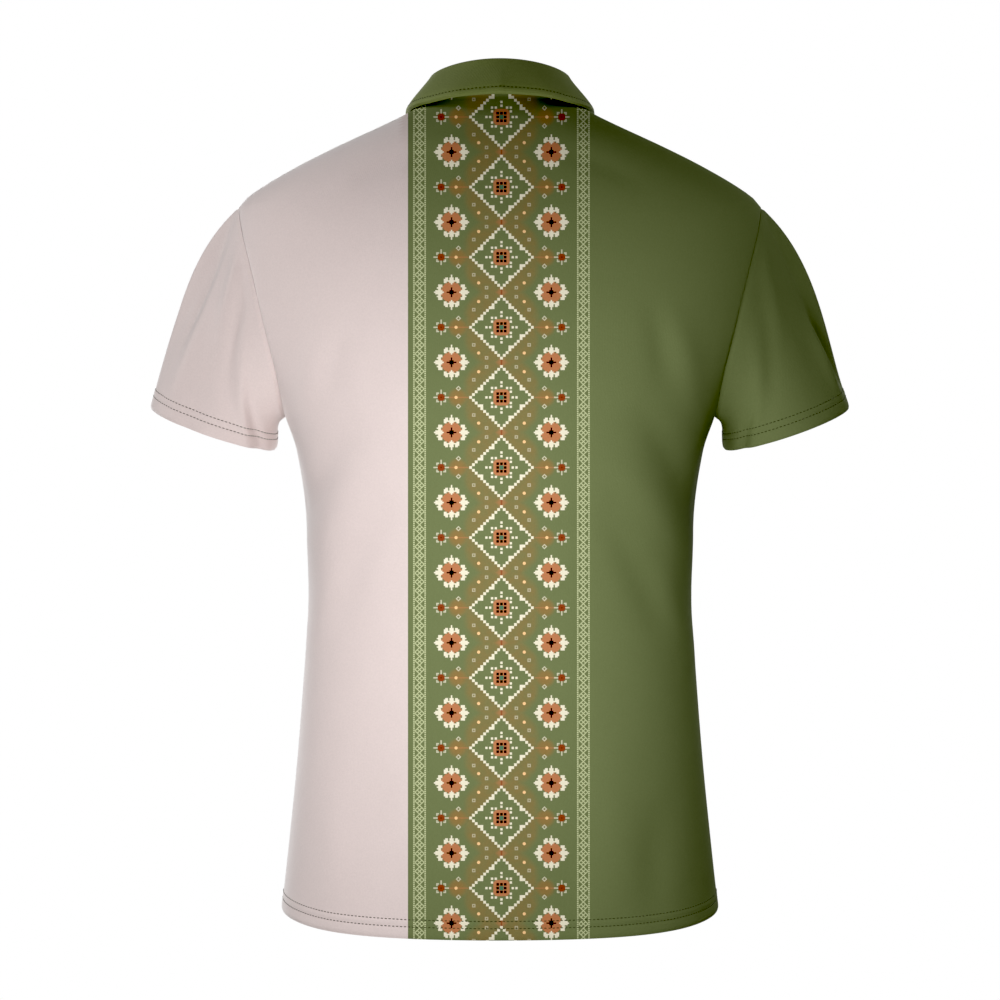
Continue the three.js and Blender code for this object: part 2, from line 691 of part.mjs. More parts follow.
function meshOf(name, solid, matrix, material) {
  const { vertProperties, triVerts } = solid.getMesh();
  const geometry = new THREE.BufferGeometry();
  geometry.setAttribute('position', new THREE.Float32BufferAttribute(Array.from(vertProperties), 3));
  geometry.setIndex(Array.from(triVerts));
  geometry.applyMatrix4(matrix);
  geometry.computeVertexNormals();
  const mesh = new THREE.Mesh(geometry, material);
  mesh.name = name;
  return mesh;
}

const TAPE_FRONT = -(CLOTH + SEAM_GAP);
const TAPE_BACK = TAPE_FRONT - TAPE_THICK;
const SLIDER_FRONT = TAPE_FRONT + SEAM_GAP;
const SLIDER_REAR = TAPE_BACK - SEAM_GAP;

// The slider: a plate before the tapes, a core between them, a plate behind and a bridge for the tab
function zipSlider() {
  const plate = (low, high) => boxAt(SLIDER_WIDTH, SLIDER_LENGTH, high - low, 0, 0, (low + high) / 2);
  const coreDepth = SLIDER_FRONT - SLIDER_REAR + SLIDER_PLATE;
  const coreMiddle = (SLIDER_FRONT + SLIDER_REAR) / 2;
  const core = boxAt(2 * CORE_HALF, SLIDER_LENGTH - SLIDER_CORE_SHORT, coreDepth, 0, 0, coreMiddle);
  const arch = new THREE.Shape();
  arch.moveTo(-BRIDGE_LENGTH / 2, 0);
  arch.lineTo(BRIDGE_LENGTH / 2, 0);
  arch.lineTo(BRIDGE_LENGTH / 2 - BRIDGE_SLOPE, BRIDGE_HEIGHT);
  arch.lineTo(-BRIDGE_LENGTH / 2 + BRIDGE_SLOPE, BRIDGE_HEIGHT);
  arch.closePath();
  const hole = new THREE.Path();
  hole.moveTo(-BRIDGE_HOLE_HALF, BRIDGE_HOLE_LOW);
  hole.lineTo(-BRIDGE_HOLE_HALF, BRIDGE_HOLE_HIGH);
  hole.lineTo(BRIDGE_HOLE_HALF, BRIDGE_HOLE_HIGH);
  hole.lineTo(BRIDGE_HOLE_HALF, BRIDGE_HOLE_LOW);
  hole.closePath();
  arch.holes.push(hole);
  const bridge = new THREE.ExtrudeGeometry(arch, { depth: BRIDGE_WIDTH, bevelEnabled: false, steps: 1 });
  const upright = new THREE.Matrix4().makeBasis(vec(0, 1, 0), vec(0, 0, 1), vec(1, 0, 0));
  bridge.applyMatrix4(upright).translate(-BRIDGE_WIDTH / 2, 0, PLATE_TOP - BRIDGE_SINK);
  const solid = solidOf(plate(SLIDER_FRONT, PLATE_TOP))
    .add(solidOf(plate(SLIDER_REAR - SLIDER_PLATE, SLIDER_REAR)))
    .add(solidOf(core))
    .add(solidOf(bridge));
  return meshOf('zip_slider', solid, zipFrame(SLIDER_Z), metal());
}

// The pull tab: a bar through the bridge, an arm on each side of it and a plate that hangs below
function zipPullTab() {
  const armX = (BRIDGE_WIDTH + TAB_ARM_WIDTH) / 2 + TAB_ARM_GAP;
  const armY = (TAB_ARM_WIDTH - TAB_ARM_LENGTH) / 2;
  const bar = new THREE.CylinderGeometry(TAB_BAR / 2, TAB_BAR / 2, 2 * armX, 8).rotateZ(Math.PI / 2);
  let solid = solidOf(bar);
  for (const sign of [-1, 1]) {
    solid = solid.add(solidOf(boxAt(TAB_ARM_WIDTH, TAB_ARM_LENGTH, TAB_BAR, sign * armX, armY, 0)));
  }
  const outline = new THREE.Shape();
  const half = TAB_WIDTH / 2;
  const neck = armX + TAB_ARM_WIDTH / 2;
  const endY = half - TAB_LENGTH;
  outline.moveTo(-neck, TAB_NECK_Y);
  outline.lineTo(-half, TAB_SHOULDER_Y);
  outline.lineTo(-half, endY);
  outline.absarc(0, endY, half, Math.PI, 2 * Math.PI, false);
  outline.lineTo(half, TAB_SHOULDER_Y);
  outline.lineTo(neck, TAB_NECK_Y);
  outline.closePath();
  const eye = new THREE.Path();
  eye.absarc(0, endY, TAB_EYE, 0, 2 * Math.PI, true);
  outline.holes.push(eye);
  const flat = { depth: TAB_THICK, bevelEnabled: false, curveSegments: 10 };
  const plate = new THREE.ExtrudeGeometry(outline, flat).translate(0, 0, -TAB_THICK / 2);
  const hinge = zipFrame(SLIDER_Z).multiply(new THREE.Matrix4().makeTranslation(0, 0, HINGE_OUT));
  return meshOf('zip_pull_tab', solid.add(solidOf(plate)), hinge, metal());
}

// The bottom stop, clamped across both tapes
function zipStop() {
  const front = boxAt(STOP_WIDTH, STOP_LENGTH, STOP_PLATE, 0, 0, SLIDER_FRONT + STOP_PLATE / 2);
  const rear = boxAt(STOP_WIDTH, STOP_LENGTH, STOP_PLATE, 0, 0, SLIDER_REAR - STOP_PLATE / 2);
  const coreDepth = SLIDER_FRONT - SLIDER_REAR + STOP_PLATE;
  const core = boxAt(STOP_CORE, STOP_LENGTH, coreDepth, 0, 0, (TAPE_FRONT + TAPE_BACK) / 2);
  const solid = solidOf(front).add(solidOf(rear)).add(solidOf(core));
  return meshOf('zip_stop', solid, zipFrame(SLIT_BOTTOM_Z + STOP_ABOVE_SLIT), metal());
}

const shirt = new THREE.Group();
shirt.add(panel('back', PALE));
shirt.add(panel('front', PALE));
shirt.add(sleeve('sleeve_left', PALE, false));
shirt.add(sleeve('sleeve_right', GREEN, true));
for (const part of collar()) shirt.add(part);
shirt.add(zipTape('zip_tape_left', 1));
shirt.add(zipTape('zip_tape_right', -1));
shirt.add(zipSlider());
shirt.add(zipStop());
shirt.add(zipPullTab());

export default shirt;
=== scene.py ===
"""Looks for a short-sleeved zip polo shirt, filled out as when worn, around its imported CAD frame.

Every piece is a thin cloth shell on the form of its solid, or sewing, print and zip detail on it. Lengths
in the tables are millimetres in the frame of the part: +Z up, the front faces -Y, the wearer's left is +X.
"""

import functools
import math

import bpy
import numpy as np
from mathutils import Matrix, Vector


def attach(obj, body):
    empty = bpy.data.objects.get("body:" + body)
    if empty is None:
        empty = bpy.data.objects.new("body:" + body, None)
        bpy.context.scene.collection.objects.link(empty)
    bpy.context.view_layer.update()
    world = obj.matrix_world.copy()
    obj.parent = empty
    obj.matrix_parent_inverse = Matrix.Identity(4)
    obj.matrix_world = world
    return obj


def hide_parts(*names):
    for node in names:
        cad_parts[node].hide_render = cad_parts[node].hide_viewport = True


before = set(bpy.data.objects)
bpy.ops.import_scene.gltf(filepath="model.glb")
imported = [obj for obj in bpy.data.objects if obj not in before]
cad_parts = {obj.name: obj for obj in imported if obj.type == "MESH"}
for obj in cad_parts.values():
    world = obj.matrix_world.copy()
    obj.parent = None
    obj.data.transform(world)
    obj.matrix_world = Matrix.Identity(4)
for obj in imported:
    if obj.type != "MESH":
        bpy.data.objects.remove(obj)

bl_info = {
    "name": "Zip polo shirt",
    "version": (1, 0, 0),
    "blender": (4, 5, 0),
    "location": "View3D > Sidebar > Shirt",
    "description": "Cloth, print, sewing and zip of a two-colour polo shirt",
    "category": "Add Mesh",
}

MM = 0.001
SHIRT_BODY = "shirt"
TAB_BODY = "pull_tab"

# Cloth and seams, as in the part, and the exponent of the super-ellipse that a panel follows at each height
CLOTH = 1.6
COLLAR_CLOTH = 2.4
SEAM_GAP = 0.3
PANEL_SHAPE = 2.2

# Neck, shoulders and armholes
NECK_HALF_WIDTH = 72
BACK_NECK_RISE = 1.5
FRONT_NECK_DROP = 75
SHOULDER_TIP_Z = -86.6
ARMPIT_Z = -270
HEM_Z = -704
SHOULDER_ROUND = 26
ARMHOLE_DEPTH_LOW = 62
ARMHOLE_DEPTH_TOP = 38
ARMHOLE_DEPTH_MOST = 0.95
HEM_SIDE_RISE = 7
HEM_RISE_LENGTH = 20

# The closed trunk below the armpits: height, half width, back depth, front depth
TRUNK = (
    (HEM_Z, 191, 122, 122),
    (-640, 184, 119, 120),
    (-570, 177, 115, 118),
    (-500, 171.5, 110, 117),
    (-430, 167, 107, 117),
    (-360, 169, 111, 119),
    (-300, 177, 118, 121),
    (ARMPIT_Z, 187, 121, 121),
)
# Depth at the middle of each panel from the armpits to the neck: height, depth
BACK_DEPTH = (
    (ARMPIT_Z, 121), (-240, 122.5), (-200, 121.5), (-150, 117), (-110, 110),
    (-70, 99), (-40, 88), (-20, 78), (-4, 68), (0, 66),
)
FRONT_DEPTH = (
    (ARMPIT_Z, 121), (-240, 119), (-200, 115), (-150, 104), (-110, 90),
    (-75, 72), (-58, 60), (-38, 45), (-17.5, 28), (0, 12),
)
# Half width along the armhole seam and along the shoulder seam: height, half width
ARMHOLE = ((ARMPIT_Z, 187), (-240, 191), (-200, 200), (-150, 212), (-110, 223), (SHOULDER_TIP_Z, 228.4))
SHOULDER = (
    (SHOULDER_TIP_Z, 228.4), (-79.6, 223), (-70.9, 210.9), (-53.4, 179.4), (-35.9, 143.5),
    (-14.9, 98), (-7.9, 84), (0, NECK_HALF_WIDTH),
)

# Sleeves, for the wearer's left
CUFF_CENTRE = (253, -20, -278.3)
CUFF_HALF_WIDTH = 57.8
CUFF_HALF_DEPTH = 55.5
CUFF_TILT = 19.4
CUFF_FORWARD = 8
SEAM_TWIST_ROOM = 0.25
ARMPIT_LEAVE = np.array([0.25, 0, 1])
UNDERARM_OUT = np.array([1, 0, -0.25])
SEAM_SHARE = 0.35
STRAIGHT_SHARE = 0.65
SEAM_PULL = 0.36
CUFF_PULL = 0.34

# Collar
FOLD_HALF_WIDTH = 58.5
FOLD_BACK_Y = 56
FOLD_FRONT_Y = 60
FOLD_TOP_Z = 33.2
FOLD_ARCH = 6
FOLD_FRONT_Z = -50
FOLD_RADIUS = 3.6
FOLD_SEAM_GAP = 0.55
STAND_SEAM_GAP = 0.4
COLLAR_END = 172
FOLD_DROP_START = 76
FOLD_TURN = 150
STAND_BOW = 1.2
LEAF_LEAVE_OUT = 0.55
LEAF_LEAVE_DOWN = 0.83
LEAF_TUCK = 0.25
LEAF_PULL = 0.3
# Lower edge of the leaf: angle from the middle of the back, x, y, height
LEAF_EDGE = (
    (0, 0, 80, 2.4), (25, 36, 73, 0.6), (50, 64.5, 53, -2.4), (72, 79.5, 25, -2.8), (90, 83.5, 0, -3.2),
    (110, 84.5, -27, -17), (130, 78, -51, -42), (150, 63, -75, -72), (COLLAR_END, 42, -92, -101),
)

# Zip
SLIT_HALF = 4.5
SLIT_BOTTOM_Z = -228
TAPE_INNER_X = 1.3
TAPE_OUTER_X = 14
TAPE_THICK = 1.0
TAPE_DEPTH = CLOTH + SEAM_GAP
TAPE_TOP_Z = -78
TAPE_BOTTOM_Z = -236
TAPE_ROWS = 90
TAPE_COLUMNS = 12
PROBE = 0.5

# The grid of the solids: steps up the armhole, up the shoulder, across half a panel and up to the slit's
# end, and its row below the armpit
ARMHOLE_STEPS = 12
SHOULDER_STEPS = 6
CHEST_STEPS = ARMHOLE_STEPS + SHOULDER_STEPS
PANEL_STEPS = 12
SLIT_STEP = 3
ROW_BELOW_ARMPIT_Z = -300.0

# Photo: the camera stands level with the middle of the shirt, 2 m behind it. The print's plane is the
# back's furthest point
CAMERA_Y = 2000
CAMERA_Z = -342
CAMERA_LENS = 82.29
SENSOR_WIDTH = 36.0
PRINT_PLANE_Y = 120


def column(table, key, value):
    """Reads a table column smoothly: a monotone cubic through the rows."""
    xs = np.array([row[key] for row in table], float)
    ys = np.array([row[value] for row in table], float)
    steps = np.diff(ys) / np.diff(xs)
    slopes = np.empty(len(xs))
    slopes[0], slopes[-1] = steps[0], steps[-1]
    before, after = steps[:-1], steps[1:]
    same = before * after > 0
    slopes[1:-1] = np.where(same, 2 * before * after / np.where(same, before + after, 1), 0)

    def read(x):
        x = np.asarray(x, float)
        i = np.clip(np.searchsorted(xs, x, side="left") - 1, 0, len(xs) - 2)
        width = xs[i + 1] - xs[i]
        t = np.clip((x - xs[i]) / width, 0, 1)
        a = (1 + 2 * t) * (1 - t) ** 2
        b = t * (1 - t) ** 2
        c = t * t * (3 - 2 * t)
        d = t * t * (t - 1)
        return a * ys[i] + b * width * slopes[i] + c * ys[i + 1] + d * width * slopes[i + 1]

    return read


trunk_half = column(TRUNK, 0, 1)
trunk_depth = {"back": column(TRUNK, 0, 2), "front": column(TRUNK, 0, 3)}
chest_depth = {"back": column(BACK_DEPTH, 0, 1), "front": column(FRONT_DEPTH, 0, 1)}
armhole_x = column(ARMHOLE, 0, 1)
shoulder_x = column(SHOULDER, 0, 1)
SIDE_SIGN = {"back": 1, "front": -1}
ARMHOLE_MIDDLE = (ARMPIT_Z + SHOULDER_TIP_Z) / 2


def armhole_height(t):
    return ARMHOLE_MIDDLE + (ARMPIT_Z - ARMHOLE_MIDDLE) * np.cos(np.pi * t)


def armhole_depth(z):
    share = np.clip((z - ARMHOLE_MIDDLE) / (ARMPIT_Z - ARMHOLE_MIDDLE), -1, 1)
    t = np.arccos(share) / np.pi
    return (ARMHOLE_DEPTH_LOW + (ARMHOLE_DEPTH_TOP - ARMHOLE_DEPTH_LOW) * t * t) * np.sin(np.pi * t)


def level_slice(z, side):
    """Half width, depth and the share of the half width that a panel reaches at each height."""
    z = np.asarray(z, float)
    chest = chest_depth[side](z)
    reach = (1 - np.clip(armhole_depth(z) / chest, 0, ARMHOLE_DEPTH_MOST) ** PANEL_SHAPE) ** (1 / PANEL_SHAPE)
    low = z <= ARMPIT_Z
    high = z >= SHOULDER_TIP_Z
    half = np.where(low, trunk_half(z), np.where(high, shoulder_x(z), armhole_x(z) / reach))
    depth = np.where(low, trunk_depth[side](z), chest)
    edge = np.where(low | high, 1.0, reach)
    return half, depth, edge


def angle_of(share):
    return np.arcsin(np.clip(share, 0, 1) ** (PANEL_SHAPE / 2))


def smoothstep(x, low, high):
    t = np.clip((x - low) / (high - low), 0, 1)
    return t * t * (3 - 2 * t)


def soft_half(z, side):
    heights = [np.minimum(z + step * SHOULDER_ROUND / 2, 0) for step in (-2, -1, 0, 1, 2)]
    return sum(level_slice(height, side)[0] for height in heights) / len(heights)


def panel_point(angle, z, side):
    """The outer face of a panel at an angle from its middle and a height. Returns points in mm."""
    angle, z = np.broadcast_arrays(np.asarray(angle, float), np.asarray(z, float))
    sharp, depth, edge = level_slice(z, side)
    near = np.clip(np.abs(angle) / angle_of(edge), 0, 1) ** 4
    tip = SHOULDER_TIP_Z
    rounding = smoothstep(z, ARMPIT_Z, tip - SHOULDER_ROUND)
    rounding = rounding * (1 - smoothstep(z, tip + SHOULDER_ROUND, tip + 2 * SHOULDER_ROUND))
    half = sharp + (soft_half(z, side) - sharp) * rounding * (1 - near)
    across = np.clip(np.abs(np.sin(angle)), 0, 1) ** (2 / PANEL_SHAPE)
    out = np.clip(np.cos(angle), 0, None) ** (2 / PANEL_SHAPE)
    y = SIDE_SIGN[side] * (depth * out + SEAM_GAP / 2)
    return np.stack([np.sign(angle) * half * across, y, z], -1)


def neckline(u, side):
    turn = u * np.pi / 2
    x = NECK_HALF_WIDTH * np.sin(turn)
    if side == "back":
        z = BACK_NECK_RISE * (1 - (x / NECK_HALF_WIDTH) ** 4)
    else:
        z = -FRONT_NECK_DROP * np.cos(turn)
    angle = angle_of(x / level_slice(z, side)[0])
    return np.where(u >= 1, np.pi / 2, angle), z


def centre_height(k, side):
    if side == "back":
        return ARMPIT_Z + (BACK_NECK_RISE - ARMPIT_Z) * k / CHEST_STEPS
    low = ARMPIT_Z + (SLIT_BOTTOM_Z - ARMPIT_Z) * k / SLIT_STEP
    high = SLIT_BOTTOM_Z + (-FRONT_NECK_DROP - SLIT_BOTTOM_Z) * (k - SLIT_STEP) / (CHEST_STEPS - SLIT_STEP)
    return np.where(k <= SLIT_STEP, low, high)


def edge_height(k):
    heights = np.linspace(SHOULDER_TIP_Z, 0, 4000)
    x = shoulder_x(SHOULDER_TIP_Z) + (NECK_HALF_WIDTH - shoulder_x(SHOULDER_TIP_Z)) * (
        (k - ARMHOLE_STEPS) / SHOULDER_STEPS
    )
    on_shoulder = np.interp(-x, -shoulder_x(heights), heights)
    return np.where(k <= ARMHOLE_STEPS, armhole_height(np.minimum(k / ARMHOLE_STEPS, 1)), on_shoulder)


def chest_coordinates(u, k, side):
    """Angle and height of a chest point: u runs from the middle to the edge, k up the panel."""
    s = k / CHEST_STEPS
    top_angle, top_z = neckline(u, side)
    corner_angle, corner_z = neckline(np.float64(1), side)
    edge_z = edge_height(k)
    edge = angle_of(level_slice(edge_z, side)[2])
    angle = s * top_angle + u * edge - s * u * corner_angle
    centre_z = centre_height(k, side)
    corners = (1 - s) * ARMPIT_Z + s * ((1 - u) * neckline(np.float64(0), side)[1] + u * corner_z)
    z = (1 - s) * ARMPIT_Z + s * top_z + (1 - u) * centre_z + u * edge_z - corners
    return angle, z, edge


# Fine grids for the looks. Half a panel is about HALF_ROUND from its middle to its edge, and the steps at
# the edge and the hem are millimetres from there
HALF_COLUMNS = 62
HALF_ROUND = 230
EDGE_STEPS = (4.8, 2.6, 1.1)
HEM_STEPS = (1.2, 2.6, 4.4, 6.4, 8.4, 10, 11.6, 13.2, 14.8, 16.4, 18.2, 20.5)
TRUNK_SPACING = 4.6
FINE_PER_STEP = 4
SLEEVE_COLUMNS = 24
SLEEVE_FINE = 6
SLEEVE_ROWS = np.concatenate([
    (0, 0.006, 0.014, 0.024), np.linspace(0.04, 0.86, 52), np.linspace(0.875, 1, 15),
])
COLLAR_COLUMNS = 84
STAND_ROWS = 14
BEND_ROWS = 16
FALL_ROWS = 26

# Edges of the cloth: how far an edge turns in and over what length, where the stitches run, and how a
# stitched hem stands
SEAM_ROLL = (0.9, 3.4)
HEM_STITCHES = (10.0, 16.0)
CUFF_STITCHES = (11.0, 17.0)
LEAF_STITCH = 4.3
HEM_THICKENING = 0.45
STITCH_DENT = 0.4
STITCH_DENT_WIDTH = 1.1
EDGE_ROUND = (0.9, 2.4)
LEAF_DENT_WIDTH = 1.2
LEAF_ROUND = (0.8, 2.2)
LEAF_UNDER_EDGE = 1.3
STAND_ROLL_SHARE = 0.5
# Lengths over which the creases fade in from an edge, and the height where the slit's flat part begins
SIDE_FADE = (2, 22)
NECK_FADE = (2, 26)
SLIT_FADE = (16, 40)
SLIT_FADE_Z = -250
SLEEVE_FADE = (2, 20)
LEAF_FADE = (6, 18)

# Creases placed one by one: across, up, direction in degrees, half length, half width, height (minus is a
# trough) and how far the line bows. Across and up are millimetres on the panel.
BACK_CREASES = (
    (150, -318, 118, 62, 15, -3.6, 8),
    (132, -345, 122, 78, 17, 2.8, 12),
    (118, -392, 116, 66, 14, -2.6, 6),
    (150, -432, 108, 60, 13, 2.0, -6),
    (-148, -312, 60, 66, 15, -3.8, -8),
    (-134, -352, 56, 74, 16, 3.0, -10),
    (-116, -402, 64, 70, 15, -2.8, -4),
    (-150, -440, 70, 58, 12, 2.2, 5),
    (158, -232, 104, 54, 13, 2.8, 6),
    (136, -214, 100, 48, 12, -2.2, 4),
    (-158, -228, 76, 56, 13, 2.9, -6),
    (-134, -210, 82, 46, 12, -2.3, -4),
    (60, -470, 96, 90, 22, 1.4, 5),
    (-40, -500, 86, 84, 24, -1.3, -6),
    (100, -600, 92, 96, 20, -2.0, 4),
    (64, -650, 88, 60, 17, 1.7, -3),
    (140, -640, 94, 72, 15, 2.2, 3),
    (-96, -606, 86, 92, 21, 1.9, -5),
    (-130, -648, 92, 62, 15, -2.2, 4),
    (-58, -660, 90, 52, 16, -1.4, 2),
    (10, -660, 90, 58, 19, 1.5, 0),
    (88, -60, 158, 44, 10, -1.6, 3),
    (-86, -62, 22, 46, 10, -1.7, -3),
    (36, -44, 172, 34, 9, 1.0, 2),
)
FRONT_CREASES = (
    (148, -322, 120, 64, 15, -3.4, 8),
    (128, -352, 124, 72, 16, 2.8, 10),
    (112, -404, 114, 64, 14, -2.4, 5),
    (-150, -316, 58, 62, 15, -3.5, -7),
    (-130, -348, 54, 76, 17, 2.9, -12),
    (-114, -396, 64, 66, 14, -2.5, -5),
    (150, -224, 102, 50, 12, 2.6, 5),
    (-152, -230, 78, 52, 12, 2.7, -5),
    (70, -118, 128, 56, 13, -1.9, 5),
    (-72, -124, 52, 54, 13, -2.0, -5),
    (56, -300, 112, 70, 19, 1.6, 6),
    (-52, -308, 66, 74, 19, 1.7, -6),
    (34, -480, 92, 92, 24, -1.5, 5),
    (-70, -520, 86, 84, 21, 1.6, -4),
    (104, -606, 90, 88, 19, 2.0, 4),
    (60, -652, 94, 58, 16, -1.7, -2),
    (-100, -612, 92, 90, 20, -2.0, -5),
    (-56, -656, 88, 60, 16, 1.8, 3),
    (-140, -640, 86, 66, 15, 2.0, 3),
    (140, -644, 94, 64, 14, -2.0, -3),
)
# On a sleeve, across is the turn round it in millimetres from the shoulder tip over the back, and up is
# the way down from the armhole
LEFT_SLEEVE_CREASES = (
    (62, 24, 70, 44, 9, 4.4, 4),
    (84, 34, 64, 50, 9, -3.6, 5),
    (112, 46, 58, 48, 10, 3.0, 5),
    (30, 70, 84, 62, 10, -3.4, 4),
    (50, 110, 92, 54, 9, 2.8, 3),
    (74, 128, 98, 46, 9, -2.4, -3),
    (150, 60, 40, 44, 10, -3.2, 4),
    (176, 80, 60, 46, 11, 2.4, 3),
    (250, 50, 120, 46, 10, -3.0, 4),
    (286, 36, 108, 48, 10, 3.4, -4),
    (306, 70, 98, 58, 10, -3.0, 4),
    (334, 60, 90, 60, 10, 2.2, -3),
    (10, 150, 90, 44, 12, 1.8, 2),
)
RIGHT_SLEEVE_CREASES = (
    (60, 26, 68, 46, 11, 2.0, 4),
    (86, 40, 62, 50, 13, -1.2, 5),
    (116, 50, 56, 46, 12, 1.2, 4),
    (18, 126, 96, 54, 7.5, -4.2, 3),
    (34, 134, 94, 50, 6.5, 3.4, 2),
    (52, 96, 88, 60, 13, -1.2, 4),
    (146, 64, 42, 42, 10, -3.0, 4),
    (180, 84, 62, 44, 11, 2.2, 3),
    (252, 54, 118, 44, 10, -3.0, 4),
    (288, 38, 106, 50, 10, 3.2, -4),
    (308, 74, 96, 56, 10, -2.8, 4),
    (336, 110, 92, 50, 9, 2.4, -3),
)


def crease_height(across, up, table):
    """How far the placed creases lift the cloth at each point."""
    total = np.zeros(np.broadcast(across, up).shape)
    for x, y, direction, length, width, height, bow in table:
        turn = math.radians(direction)
        along = (across - x) * math.cos(turn) + (up - y) * math.sin(turn)
        beside = (up - y) * math.cos(turn) - (across - x) * math.sin(turn)
        beside = beside - bow * (along / length) ** 2
        taper = np.clip(1 - (along / length) ** 2, 0, 1) ** 1.5
        total += height * taper * np.exp(-((beside / width) ** 2))
    return total


def unit(vectors):
    return vectors / np.linalg.norm(vectors, axis=-1, keepdims=True)


def grid_normals(grid, wrap=False, flip=False, flat=None):
    """Outward directions of a grid of points. Points in flat keep to their level slice."""
    if wrap:
        right, left = np.roll(grid, -1, 1), np.roll(grid, 1, 1)
    else:
        right = np.concatenate([grid[:, 1:], grid[:, -1:]], 1)
        left = np.concatenate([grid[:, :1], grid[:, :-1]], 1)
    above = np.concatenate([grid[1:], grid[-1:]], 0)
    below = np.concatenate([grid[:1], grid[:-1]], 0)
    normals = np.cross(right - left, above - below)
    if flip:
        normals = -normals
    if flat is not None:
        normals[flat, 1] = 0
    return unit(normals)


def run_length(points, axis):
    """Distance along the grid from its first line."""
    steps = np.linalg.norm(np.diff(points, axis=axis), axis=-1)
    start = np.zeros_like(np.take(steps, [0], axis=axis))
    return np.concatenate([start, np.cumsum(steps, axis=axis)], axis=axis)


def rounded(distance, depth, length):
    return depth * (1 - smoothstep(distance, 0, length))


def stitch_dent(distance, stitch, width):
    return STITCH_DENT * np.exp(-(((distance - stitch) / width) ** 2))


def stitched_edge(distance, stitches):
    """A turned and stitched edge: a little thicker, with a dent along each row of stitches."""
    lift = HEM_THICKENING * (1 - smoothstep(distance, stitches[-1] - 1, stitches[-1] + 3))
    lift = lift - rounded(distance, *EDGE_ROUND)
    for stitch in stitches:
        lift = lift - stitch_dent(distance, stitch, STITCH_DENT_WIDTH)
    return lift


def half_shares():
    """Shares of a half panel from its middle to its edge, close together at the edge."""
    inner = np.linspace(0, 1 - EDGE_STEPS[0] / HALF_ROUND, HALF_COLUMNS)
    return np.concatenate([inner, [1 - step / HALF_ROUND for step in EDGE_STEPS[1:]], [1.0]])


@functools.cache
def panel_surface(side, crease_depth):
    """Outer points and normals of a panel with its creases, and the row where the zip slit starts."""
    shares = half_shares()
    low = np.array([0, *HEM_STEPS])
    count = round((ARMPIT_Z - HEM_Z - HEM_STEPS[-1]) / TRUNK_SPACING)
    rest = np.linspace(HEM_STEPS[-1], ARMPIT_Z - HEM_Z, count + 1)[1:-1]
    trunk_z = HEM_Z + np.concatenate([low, rest])
    chest_k = np.arange(CHEST_STEPS * FINE_PER_STEP + 1) / FINE_PER_STEP
    chest_k = np.concatenate([chest_k[:-1], [chest_k[-1] - 0.1, chest_k[-1]]])
    angle = shares * np.pi / 2
    low_share = np.clip(1 - (trunk_z - HEM_Z) / HEM_RISE_LENGTH, 0, 1)[:, None]
    rise = low_share * HEM_SIDE_RISE * np.sin(angle) ** 6
    trunk = (np.broadcast_to(angle, rise.shape), trunk_z[:, None] + rise, np.full(rise.shape, np.pi / 2))
    chest = chest_coordinates(shares[None, :], chest_k[:, None], side)
    chest = [np.broadcast_to(one, (len(chest_k), len(shares))) for one in chest]
    angle, z, edge = (np.concatenate([a, b], 0) for a, b in zip(trunk, chest))
    if side == "front":
        shift = angle_of(SLIT_HALF / level_slice(z, side)[0])
        place = shift + angle * (1 - shift / edge)
        middle = panel_point(np.zeros(len(z)), z[:, 0], side)[:, None]
        right = panel_point(place, z, side)
        left = panel_point(-place, z, side)[:, ::-1]
        grid = np.concatenate([left, middle, right], 1)
    else:
        right = panel_point(angle, z, side)
        grid = np.concatenate([panel_point(-angle, z, side)[:, :0:-1], right], 1)
    rows, cols = grid.shape[:2]
    start = len(trunk_z)
    flat = np.zeros((rows, cols), bool)
    tip = start + ARMHOLE_STEPS * FINE_PER_STEP
    for column_number in (0, cols - 1):
        flat[: start + 1, column_number] = True
        flat[tip:, column_number] = True
    normals = grid_normals(grid, flip=side == "back", flat=flat)
    from_side = np.minimum(run_length(grid, 1), run_length(grid[:, ::-1], 1)[:, ::-1])
    from_hem = run_length(grid, 0)
    from_neck = run_length(grid[::-1], 0)[::-1]
    table = BACK_CREASES if side == "back" else FRONT_CREASES
    away = smoothstep(from_side, *SIDE_FADE) * smoothstep(from_neck, *NECK_FADE)
    if side == "front":
        beside = 1 - smoothstep(np.abs(grid[..., 0]), *SLIT_FADE)
        away = away * (1 - beside * (grid[..., 2] > SLIT_FADE_Z))
    lift = crease_height(grid[..., 0], grid[..., 2], table) * away * crease_depth
    lift = lift - rounded(from_side, *SEAM_ROLL) - rounded(from_neck, *SEAM_ROLL)
    lift = lift + stitched_edge(from_hem, HEM_STITCHES)
    grid = grid + normals * lift[..., None]
    normals = grid_normals(grid, flip=side == "back", flat=flat)
    return grid, normals, start + SLIT_STEP * FINE_PER_STEP


